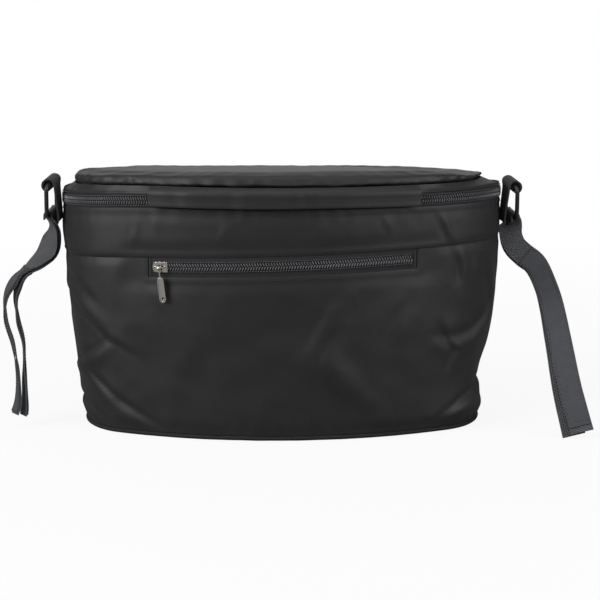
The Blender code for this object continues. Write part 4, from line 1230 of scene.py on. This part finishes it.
class OBJECT_OT_organizer_lid(bpy.types.Operator):
    """Padded lid with its gusset, lining, storm flap and the cloth hinge at the back"""
    bl_idname = "object.organizer_lid"
    bl_label = "Lid"

    def pad(self, context, shell, made):
        sizes = context.scene.lid_sizes
        pad = grid("lid_pad", 200, 60, lambda u, w: pad_surface(shell, shell.around(u), w))
        weld(pad, 2e-4, outward=True)
        only(pad)
        pad.data.remesh_voxel_size = sizes.voxel
        bpy.ops.object.voxel_remesh()
        inflate(pad, sizes, shell)
        modify(pad, "SUBSURF", levels=1, render_levels=1)
        for vertex in pad.data.vertices:
            point = vertex.co
            s = nearest_run(shell, point)
            edge = bump(point.z + shell.lid_droop(s) - shell.lid_seam - 0.002, 0.005)
            x, y, nx, ny = shell.rim(s)[:4]
            away = (x - point.x) * nx + (y - point.y) * ny - shell.inset(s)
            edge *= ease(1, 0, (away - 0.006) / 0.012)
            pucker = 0.00035 * ripple(s, 0.017, 2.5, 33)
            for at, deep, wide in PAD_PUCKERS:
                pucker -= deep * bump(s - at, wide)
            vertex.co += Vector((nx, ny, 0.25)) * pucker * edge
            point = vertex.co
            vertex.co.z += 0.0005 * wander(point.x * 26, point.y * 34, 4.0)
        soften(pad, 60)
        dress(pad, made["pad"], "lid", "fabric", "lid_cover", "lid_foam")

    def flap(self, shell, made):
        half = shell.run_at(shell.lid.flap_half)
        top = shell.lid_seam - SEAM
        bottom = shell.lid_seam - shell.lid.flap_drop

        def spot(s, height):
            share = (height - bottom) / (top - bottom)
            stand = 0.94 + 0.06 * share if share < 0.55 else max(0.0, 1 - ((share - 0.55) / 0.45) ** 3) ** 0.7
            wave = 0.0004 * sin(s * 61 + 1.0) + 0.0003 * sin(s * 140)
            for at, deep, wide in FLAP_DENTS:
                wave -= deep * bump(s - at, wide)
            hem = 0.0003 * bump(height - bottom - 0.0016, 0.0012)
            inwards = -SEAM - (shell.lid.flap_stand + wave) * stand + 0.0014 * (1 - stand)
            low = 0.0002 * sin(s * 47) * (1 - share)
            return shell.rim_point(s, height + low, inwards - shell.lid.flap_fabric - hem)

        flap = sheet_between("storm_flap_cloth", -half, half, lambda s: bottom, lambda s: top, spot,
                             0.0014, thick=shell.lid.flap_fabric)
        modify(flap, "BEVEL", width=0.00035, segments=2, limit_method="ANGLE")
        soften(flap)
        dress(flap, made["cloth"], "lid", "fabric", "storm_flap")

    def execute(self, context):
        shell = Shell(context.scene)
        made = finishes()
        self.pad(context, shell, made)
        low, high = shell.rim_high, shell.lid_seam - SEAM

        def gusset_spot(s, height):
            share = (height - low) / (high - low)
            roll = 0.0005 * bump(share, 0.25)
            pucker = 0.0003 * ripple(s, 0.021, 2, 29) * sin(pi * share)
            return shell.rim_point(s, height, shell.inset(s) * share ** 0.85 - roll - pucker)

        gusset = sheet_between("lid_gusset_cloth", -shell.hinge_s, shell.hinge_s, lambda s: low,
                               lambda s: high, gusset_spot, 0.0013, thick=shell.fabric)
        dress(gusset, made["cloth"], "lid", "fabric", "lid_gusset")
        lining_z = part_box("lid_lining")[1].z

        def under(s, w):
            rim = shell.rim_point(s, lining_z, 0.0021 + (shell.inset(s) - 0.0012) * 0.6)
            point = rim.lerp(spine(shell, rim), w)
            left = shell.left_droop * ease(0, 1, (-point.x - 0.075) / 0.10)
            level = ease(0, 1, w / 0.4)
            crumple = 0.0008 * max(0.0, wander(point.x * 24, point.y * 24, 6.0) + 0.2)
            point.z = rim.z * (1 - level) + (lining_z - left) * level
            point.z -= crumple * ease(0, 1, w / 0.1)
            return point

        lining = disc("lid_lining_cloth", shell, under, 14)
        thicken(lining, THIN)
        dress(lining, made["lining"], "lid", "lining", "lid_lining")
        self.flap(shell, made)

        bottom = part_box("hinge_strip_lower")[0].z

        def band_spot(s, height):
            rib = 0.0003 * (bump(height - bottom - 0.0015, 0.001) + bump(height - high + 0.0015, 0.001))
            inwards = shell.inset(s) * ease(0, 1, (height - shell.rim_high) / 0.005)
            return shell.rim_point(s, height, inwards - rib)

        band = sheet_between("back_hinge_band", *shell.back_span, lambda s: bottom, lambda s: high,
                             band_spot, 0.0016, thick=shell.fabric)
        coat(band, made["tape"])
        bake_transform(band)
        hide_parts("hinge_strip_lower", "hinge_strip_upper")
        ends = shell.hinge_s - STITCH_END
        at = surface_row(gusset_spot, lambda s: low + 0.0016, 0.0002)
        dress(sew("lid_stitches_gusset", at, -ends, ends, STITCH, 0.0004), made["thread"], "lid", "fabric")
        return {"FINISHED"}


# Puckers of the pad's seam and dents in the flap: run, depth, half width
PAD_PUCKERS = [(-0.130, 0.0016, 0.0040), (-0.150, 0.0008, 0.006), (-0.095, 0.0006, 0.010),
               (0.144, 0.0012, 0.0045), (0.158, 0.0012, 0.0040), (0.118, 0.0006, 0.008),
               (0.030, 0.0004, 0.014), (-0.030, 0.0004, 0.016), (0.36, 0.0008, 0.01), (-0.40, 0.0008, 0.01)]
FLAP_DENTS = [(-0.086, 0.0007, 0.006), (-0.042, 0.0007, 0.006), (0.016, 0.0008, 0.005),
              (0.060, 0.0004, 0.012)]


def nearest_run(shell, point):
    """Run of the outline nearest to a point on the plan, out of 720."""
    if not hasattr(shell, "run_table"):
        runs = [-shell.half_run + 2 * shell.half_run * i / 720 for i in range(720)]
        shell.run_table = runs, np.array([shell.rim(s)[:2] for s in runs])
    runs, places = shell.run_table
    away = (places[:, 0] - point.x) ** 2 + (places[:, 1] - point.y) ** 2
    return runs[int(away.argmin())]


def inflate(pad, sizes, shell):
    """Swell the pad by cloth simulation with its seam held, no point further than the cap."""
    before = np.array([v.co for v in pad.data.vertices])
    held = pad.vertex_groups.new(name="held")
    low = [v.index for v in pad.data.vertices
           if v.co.z + shell.lid_droop(nearest_run(shell, v.co)) < shell.lid_seam + 0.0022]
    held.add(low, 1.0, "REPLACE")
    cloth = pad.modifiers.new("Cloth", "CLOTH")
    for key, value in {"quality": 5, "use_pressure": True, "uniform_pressure_force": sizes.pressure,
                       "vertex_group_mass": "held", "tension_stiffness": 15,
                       "bending_stiffness": 1.5}.items():
        setattr(cloth.settings, key, value)
    cloth.settings.effector_weights.gravity = 0
    cloth.collision_settings.use_collision = False
    cloth.point_cache.frame_start, cloth.point_cache.frame_end = 1, SWELL_FRAMES
    for step in range(1, SWELL_FRAMES + 1):
        bpy.context.scene.frame_set(step)
    bpy.context.view_layer.update()
    solved = pad.evaluated_get(bpy.context.evaluated_depsgraph_get()).data
    after = np.array([v.co for v in solved.vertices])
    move = after - before
    far = np.linalg.norm(move, axis=1, keepdims=True)
    move *= np.minimum(1.0, sizes.cap / np.maximum(far, 1e-9))
    pad.modifiers.remove(cloth)
    pad.data.vertices.foreach_set("co", (before + move).astype(np.float32).ravel())
    pad.data.update()
    bpy.context.scene.frame_set(1)


# Loops, straps and hardware

def smooth_path(points, per_span):
    """Catmull-Rom curve through a few vectors."""
    result = []
    for i in range(len(points) - 1):
        p0, p1 = points[max(i - 1, 0)], points[i]
        p2, p3 = points[i + 1], points[min(i + 2, len(points) - 1)]
        for j in range(per_span):
            t = j / per_span
            result.append(0.5 * (2 * p1 + (p2 - p0) * t + (2 * p0 - 5 * p1 + 4 * p2 - p3) * t * t
                                 + (3 * p1 - p0 - 3 * p2 + p3) * t * t * t))
    return result + [points[-1].copy()]


# Way of each strap from the ring down to its tips: place, direction across the webbing, half the gap
# between its tails and the sideways slip of the rear tail
STRAP_WAYS = {
    "left": [
        ((-0.1935, 0.0080, 0.1590), (0.66, -0.74, -0.02), 0.0010, 0.0),
        ((-0.1968, 0.0065, 0.1470), (0.84, -0.53, -0.12), 0.0008, 0.0),
        ((-0.2035, 0.0045, 0.1390), (0.42, -0.84, -0.34), 0.0008, 0.0),
        ((-0.2110, 0.0025, 0.1335), (0.15, -0.96, -0.22), 0.0008, 0.0),
        ((-0.2172, 0.0010, 0.1283), (0.06, -0.99, -0.10), 0.0009, 0.0),
        ((-0.2235, 0.0000, 0.1205), (0.28, -0.95, -0.14), 0.0015, 0.0),
        ((-0.2282, -0.001, 0.1075), (0.20, -0.98, -0.02), 0.0030, 0.0),
        ((-0.2275, -0.002, 0.0900), (0.08, -0.99, 0.00), 0.0038, 0.0),
        ((-0.2225, -0.004, 0.0700), (0.10, -0.99, 0.00), 0.0032, 0.0),
        ((-0.2205, -0.006, 0.0450), (0.20, -0.97, 0.00), 0.0016, 0.0),
        ((-0.2205, -0.008, 0.0220), (0.30, -0.95, 0.00), 0.0018, 0.0),
        ((-0.2225, -0.010, 0.0100), (0.34, -0.94, 0.00), 0.0030, 0.0),
    ],
    "right": [
        ((0.1922, 0.0050, 0.1600), (0.80, -0.48, -0.36), 0.0010, 0.0000),
        ((0.1950, -0.0005, 0.1505), (0.99, -0.05, 0.08), 0.0008, -0.0005),
        ((0.2030, -0.0030, 0.1428), (0.88, 0.02, 0.46), 0.0008, -0.0010),
        ((0.2125, -0.0060, 0.1350), (0.96, -0.15, 0.20), 0.0008, -0.0010),
        ((0.2205, -0.0090, 0.1187), (0.95, -0.30, 0.05), 0.0009, -0.0010),
        ((0.2258, -0.0150, 0.1010), (0.95, -0.30, 0.00), 0.0010, -0.0018),
        ((0.2306, -0.0340, 0.0700), (0.95, -0.28, -0.04), 0.0012, -0.0034),
        ((0.2354, -0.0525, 0.0385), (0.96, -0.26, -0.05), 0.0014, -0.0052),
        ((0.2427, -0.0710, 0.0055), (0.97, -0.22, -0.06), 0.0018, -0.0068),
    ],
}


class Side:
    """Geometry of one side's loop, ring and strap."""

    def __init__(self, scene, shell, name):
        self.name, self.sizes, self.shell = name, scene.strap_sizes, shell
        self.sign = -1 if name == "left" else 1
        z = self.sizes
        height = z.left_height if name == "left" else z.right_height
        x = shell.half + z.standoff + z.thickness + z.tube
        self.centre = Vector((self.sign * x, z.loop_place, height))
        self.bar = Vector((-0.25 * self.sign, 0.94, 0.20)).normalized()
        hang = Vector((0.12 * self.sign, -0.15, -1))
        self.down = (hang - self.bar * hang.dot(self.bar)).normalized()

    def strap_line(self, per_span=10):
        """Middle line of the folded strap, the directions across it, and its tails' half gap and slip."""
        z = self.sizes
        bottom = self.centre + self.down * z.ring_height
        way = STRAP_WAYS[self.name]
        points = [bottom, bottom + self.down * z.lead] + [Vector(step[0]) for step in way]
        across = [-self.bar] * 2 + [Vector(step[1]) for step in way]
        spare = [Vector((z.ring_wire + z.clearance, 0, 0)), Vector((z.ring_wire * 0.7, 0, 0))]
        spare += [Vector((step[2], step[3], 0)) for step in way]
        return (smooth_path(points, per_span), [w.normalized() for w in smooth_path(across, per_span)],
                smooth_path(spare, per_span))


def ribbon(name, path, acrosses, outs, width, thick, columns, edge_wave=0.0, seed=0.0):
    """Flat webbing along a path, with slightly wavy edges and its own metres as UVs."""
    lengths = [0.0]
    for a, b in zip(path, path[1:]):
        lengths.append(lengths[-1] + (b - a).length)
    rows = len(path) - 1

    def spot(u, w):
        i = round(w * rows)
        side = (u - 0.5) * width
        wave = edge_wave * sin(lengths[i] * 190 + seed + 3 * u) * (2 * abs(u - 0.5)) ** 2
        drift = edge_wave * 0.8 * wander(lengths[i] * 60, u * 3, seed)
        return path[i] + acrosses[i] * side + outs[i] * (wave + drift)

    thing = grid(name, columns, rows, spot, (width, lengths[-1]))
    uv = thing.data.uv_layers["cloth"].data
    for loop in thing.data.loops:
        at = uv[loop.index].uv
        row = round(at[1] / lengths[-1] * rows)
        uv[loop.index].uv = (at[0], lengths[row])
    modify(thing, "SOLIDIFY", thickness=thick, offset=0)
    weld(thing, 1e-6, outward=True)
    soften(thing, 50)
    return thing, lengths[-1]


class OBJECT_OT_organizer_straps(bpy.types.Operator):
    """Webbing loops and folded straps with their fastening tapes"""
    bl_idname = "object.organizer_straps"
    bl_label = "Loops and straps"

    def loop(self, side, made):
        z, shell = side.sizes, side.shell
        out, up = Vector((side.sign, 0, 0)), Vector((0, 0, 1))
        radius = z.tube + z.thickness / 2
        foot_height = side.centre.z - z.foot
        run = shell.side_start
        while shell.wall(run, foot_height).y > z.loop_place + z.width / 2 and run > shell.front_run:
            run -= 0.001
        wall = shell.wall(run, foot_height).x
        stand = shell.relief(side.sign * run, foot_height) + SEAM + z.thickness / 2
        foot = Vector((side.sign * (abs(wall) + stand), z.loop_place, foot_height - 0.004))
        top = side.centre - out * radius - up * 0.004
        path = [foot, foot + Vector((side.sign * 0.0004, 0, 0.008)), top]
        for i in range(11):
            turn = pi - i * radians(27)
            path.append(side.centre + out * radius * cos(turn) + up * radius * sin(turn))
        acrosses = []
        for i in range(len(path)):
            share = min(1.0, max(0.0, (i - 1) / 3))
            acrosses.append(Vector((-0.12 * side.sign, 1, 0.1)).lerp(side.bar, share).normalized())
        path, acrosses = smooth_path(path, 3), [a.normalized() for a in smooth_path(acrosses, 3)]
        outs = []
        for i in range(len(path)):
            along = path[min(i + 1, len(path) - 1)] - path[max(i - 1, 0)]
            outs.append(along.cross(acrosses[i]).normalized())
        thing, run = ribbon(f"{side.name}_loop_webbing", path, acrosses, outs, z.width * 0.9, z.thickness, 12)
        dress(thing, made["band"], "bag", "webbing", f"{side.name}_loop")

    def strap(self, side, made):
        z = side.sizes
        line, across, spare = side.strap_line()
        count = len(line)
        offsets = [z.thickness / 2 + gap.x for gap in spare]
        frames = []
        for i in range(1, count):
            along = (line[min(i + 1, count - 1)] - line[i - 1]).normalized()
            flat = (across[i] - along * across[i].dot(along)).normalized()
            frames.append((flat, along.cross(flat)))
        bar, down = -side.bar, side.down
        outward = frames[0][1] - bar * frames[0][1].dot(bar)
        outward = (outward - down * outward.dot(down)).normalized()
        radial = [outward * cos(pi * i / 16) - down * sin(pi * i / 16) for i in range(17)]
        arc = [line[0] + spoke * offsets[0] for spoke in radial]
        tails = {way: [line[i + 1] + out * offsets[i + 1] * way + flat * (spare[i + 1].y if way < 0 else 0.0)
                       for i, (flat, out) in enumerate(frames)] for way in (1, -1)}
        flats = [flat for flat, out in frames]
        path = tails[1][::-1] + arc + tails[-1]
        acrosses = flats[::-1] + [bar] * len(arc) + flats
        outs = [out for flat, out in frames][::-1] + radial + [-out for flat, out in frames]
        body = f"{side.name}_ring_and_strap"
        strap, run = ribbon(f"{side.name}_strap_webbing", path, acrosses, outs, z.width, z.thickness, 16,
                            edge_wave=0.00025, seed=1.0 + side.sign)
        dress(strap, made["webbing"], body, "webbing", f"{side.name}_strap")
        first = round(len(frames) * z.tape_start)
        lift = z.thickness / 2 + SEAM + z.tape / 2
        for kind, way in (("hook", 1), ("loop", -1)):
            away = [out * way for flat, out in frames[first:-2]]
            spots = [spot + out * lift for spot, out in zip(tails[way][first:-2], away)]
            tape = ribbon(f"{side.name}_strap_{kind}_tape_cloth", spots, flats[first:-2], away,
                          z.width - z.tape_inset, z.tape, 10, edge_wave=0.0002, seed=2.0 + way)[0]
            dress(tape, made[kind], body, "webbing", f"{side.name}_strap_{kind}_tape")

            def stitch(i, shift, along):
                """Place of a stitch on the tape, shifted across it."""
                point = spots[i] + flats[first + i] * shift + away[i] * (z.tape / 2 + 0.0001)
                return facing(point, along, away[i])

            places, final = [], len(spots) - 1
            for share in (0.02, 0.98):
                i = min(final - 1, max(1, round(share * final)))
                places += [stitch(i, (k - 3) / 7 * (z.width - 0.003), flats[first + i]) for k in range(7)]
            for edge in (-1, 1):
                places += [stitch(i, edge * (z.width / 2 - 0.0019), spots[i + 1] - spots[i - 1])
                           for i in range(1, final)]
            rows = repeat(f"{side.name}_strap_{kind}_stitches", stitch_unit(0.0017, 0.0004), places)
            dress(rows, made["thread"], body, "webbing")

    def execute(self, context):
        shell = Shell(context.scene)
        made = finishes()
        for name in ("left", "right"):
            side = Side(context.scene, shell, name)
            self.loop(side, made)
            self.strap(side, made)
        return {"FINISHED"}


class OBJECT_OT_organizer_hardware(bpy.types.Operator):
    """Finish of the rings, sliders and pulls, which keep the frame's shapes with rounded edges"""
    bl_idname = "object.organizer_hardware"
    bl_label = "Rings, sliders and pulls"

    def execute(self, context):
        made = finishes()
        nodes = frame["nodes"]
        for name in ("left_ring", "right_ring"):
            self.finish(nodes[name], made["moulded"])
            smooth = nodes[name].modifiers.new("Smooth", "SUBSURF")
            smooth.levels = smooth.render_levels = 2
        for name in ("pocket_slider", "pocket_pull", "main_slider_left", "main_slider_right",
                     "main_pull_left", "main_pull_right"):
            self.finish(nodes[name], made["nickel"])
            rounded = nodes[name].modifiers.new("Rounded", "BEVEL")
            rounded.width, rounded.segments, rounded.limit_method = 0.00018, 3, "ANGLE"
            rounded.angle_limit = radians(35)
        return {"FINISHED"}

    def finish(self, thing, surface):
        coat(thing, surface)
        joined = thing.modifiers.new("Weld", "WELD")
        joined.merge_threshold = 1e-6


def seen_directly(tree):
    """1 for rays that the camera sees straight or through a clear thing."""
    rays = add(tree, "ShaderNodeLightPath").outputs
    return calc(tree, "MAXIMUM", rays["Is Camera Ray"], rays["Is Transmission Ray"])


def aim(thing, target):
    """Turn a lamp or camera to a point."""
    thing.rotation_euler = (target - thing.location).to_track_quat("-Z", "Y").to_euler()


class OBJECT_OT_organizer_stage(bpy.types.Operator):
    """Pale floor, soft lights and the camera"""
    bl_idname = "object.organizer_stage"
    bl_label = "Stage"

    def execute(self, context):
        scene = context.scene
        stage = scene.stage_sizes
        deselect()
        bpy.ops.mesh.primitive_plane_add(size=80, location=(0, 0, 0))
        ground = context.object
        ground.name = "studio_floor"
        made, tree, shader, place = start("pale studio floor")
        grain = add(tree, "ShaderNodeTexNoise", {"Vector": place, "Scale": 300.0})
        colour = tint(tree, grain, shade_of(scene.finish_colours.paper, 0.99), scene.finish_colours.paper)
        # The bounced light is held back, as black cloth shows every pale thing near it
        camera_ray = add(tree, "ShaderNodeLightPath").outputs["Is Camera Ray"]
        colour = add(tree, "ShaderNodeMixRGB", {"Fac": camera_ray, "Color1": (0.22, 0.22, 0.22, 1),
                                                "Color2": colour})
        connect(tree, shader, Base_Color=colour, Roughness=0.9)
        away = add(tree, "ShaderNodeVectorMath", {0: place}, operation="LENGTH").outputs["Value"]
        bare = add(tree, "ShaderNodeMapRange", {"Value": away, "From Min": 0.3, "From Max": 1.2,
                                                "To Min": 0.90})
        seen = calc(tree, "MULTIPLY", seen_directly(tree), bare)
        white = add(tree, "ShaderNodeEmission", {"Color": (1, 1, 1, 1), "Strength": 1.0})
        mixed = add(tree, "ShaderNodeMixShader", {0: seen, 1: shader, 2: white})
        tree.links.new(mixed.outputs[0], tree.nodes["Material Output"].inputs["Surface"])
        ground.data.materials.append(made)

        world = bpy.data.worlds.new("studio")
        world.use_nodes = True
        scene.world = world
        tree = world.node_tree
        strength = add(tree, "ShaderNodeMapRange", {"Value": seen_directly(tree), "To Min": stage.world,
                                                    "To Max": 1.0})
        back = tree.nodes["Background"]
        back.inputs["Color"].default_value = (1, 1, 1, 1)
        tree.links.new(strength.outputs[0], back.inputs["Strength"])

        for name, place, size, power in (
                ("top_softbox", (0.0, -0.25, 1.5), 1.2, stage.top),
                ("back_softbox", (0.0, 1.5, 0.75), 1.5, stage.back),
                ("left_softbox", (-1.45, -0.85, 0.85), 1.0, stage.left),
                ("right_softbox", (1.45, -1.05, 0.75), 0.9, stage.right)):
            deselect()
            bpy.ops.object.light_add(type="AREA", location=place)
            lamp = context.object
            lamp.name = name
            lamp.data.energy, lamp.data.size = power, size
            aim(lamp, Vector((0, 0, 0.1)))

        deselect()
        bpy.ops.object.camera_add(location=stage.camera)
        camera = context.object
        aim(camera, Vector(stage.target))
        camera.data.sensor_width, camera.data.lens = 36.0, stage.lens
        scene.camera = camera
        scene.view_settings.view_transform = "Standard"
        return {"FINISHED"}


class VIEW3D_PT_organizer(bpy.types.Panel):
    """Sidebar list of the pieces"""
    bl_label = "Stroller Organizer"
    bl_space_type = "VIEW_3D"
    bl_region_type = "UI"
    bl_category = "Organizer"

    def draw(self, context):
        for operator in OPERATORS:
            self.layout.operator(operator.bl_idname)
        for name, group in GROUPS:
            box = self.layout.box()
            box.label(text=group.__doc__)
            for key in group.__annotations__:
                box.prop(getattr(context.scene, name), key)


GROUPS = [("bag_sizes", BagSizes), ("pocket_sizes", PocketSizes), ("lid_sizes", LidSizes),
          ("zip_sizes", ZipSizes), ("strap_sizes", StrapSizes), ("finish_colours", Colours),
          ("stage_sizes", StageSizes)]
OPERATORS = [OBJECT_OT_organizer_walls, OBJECT_OT_organizer_base, OBJECT_OT_organizer_inside,
             OBJECT_OT_organizer_pocket_zip, OBJECT_OT_organizer_main_zip, OBJECT_OT_organizer_lid,
             OBJECT_OT_organizer_straps, OBJECT_OT_organizer_hardware, OBJECT_OT_organizer_stage]


def register():
    """Register the classes and hang the settings on the scene."""
    for name, group in GROUPS:
        bpy.utils.register_class(group)
        setattr(bpy.types.Scene, name, PointerProperty(type=group))
    for kind in OPERATORS + [VIEW3D_PT_organizer]:
        bpy.utils.register_class(kind)


def unregister():
    """Take everything off again."""
    for kind in reversed(OPERATORS + [VIEW3D_PT_organizer]):
        bpy.utils.unregister_class(kind)
    for name, group in reversed(GROUPS):
        delattr(bpy.types.Scene, name)
        bpy.utils.unregister_class(group)


def main():
    """Make every piece and the stage."""
    register()
    for operator in OPERATORS:
        area, step = operator.bl_idname.split(".")
        getattr(getattr(bpy.ops, area), step)()


if __name__ == "__main__":
    main()
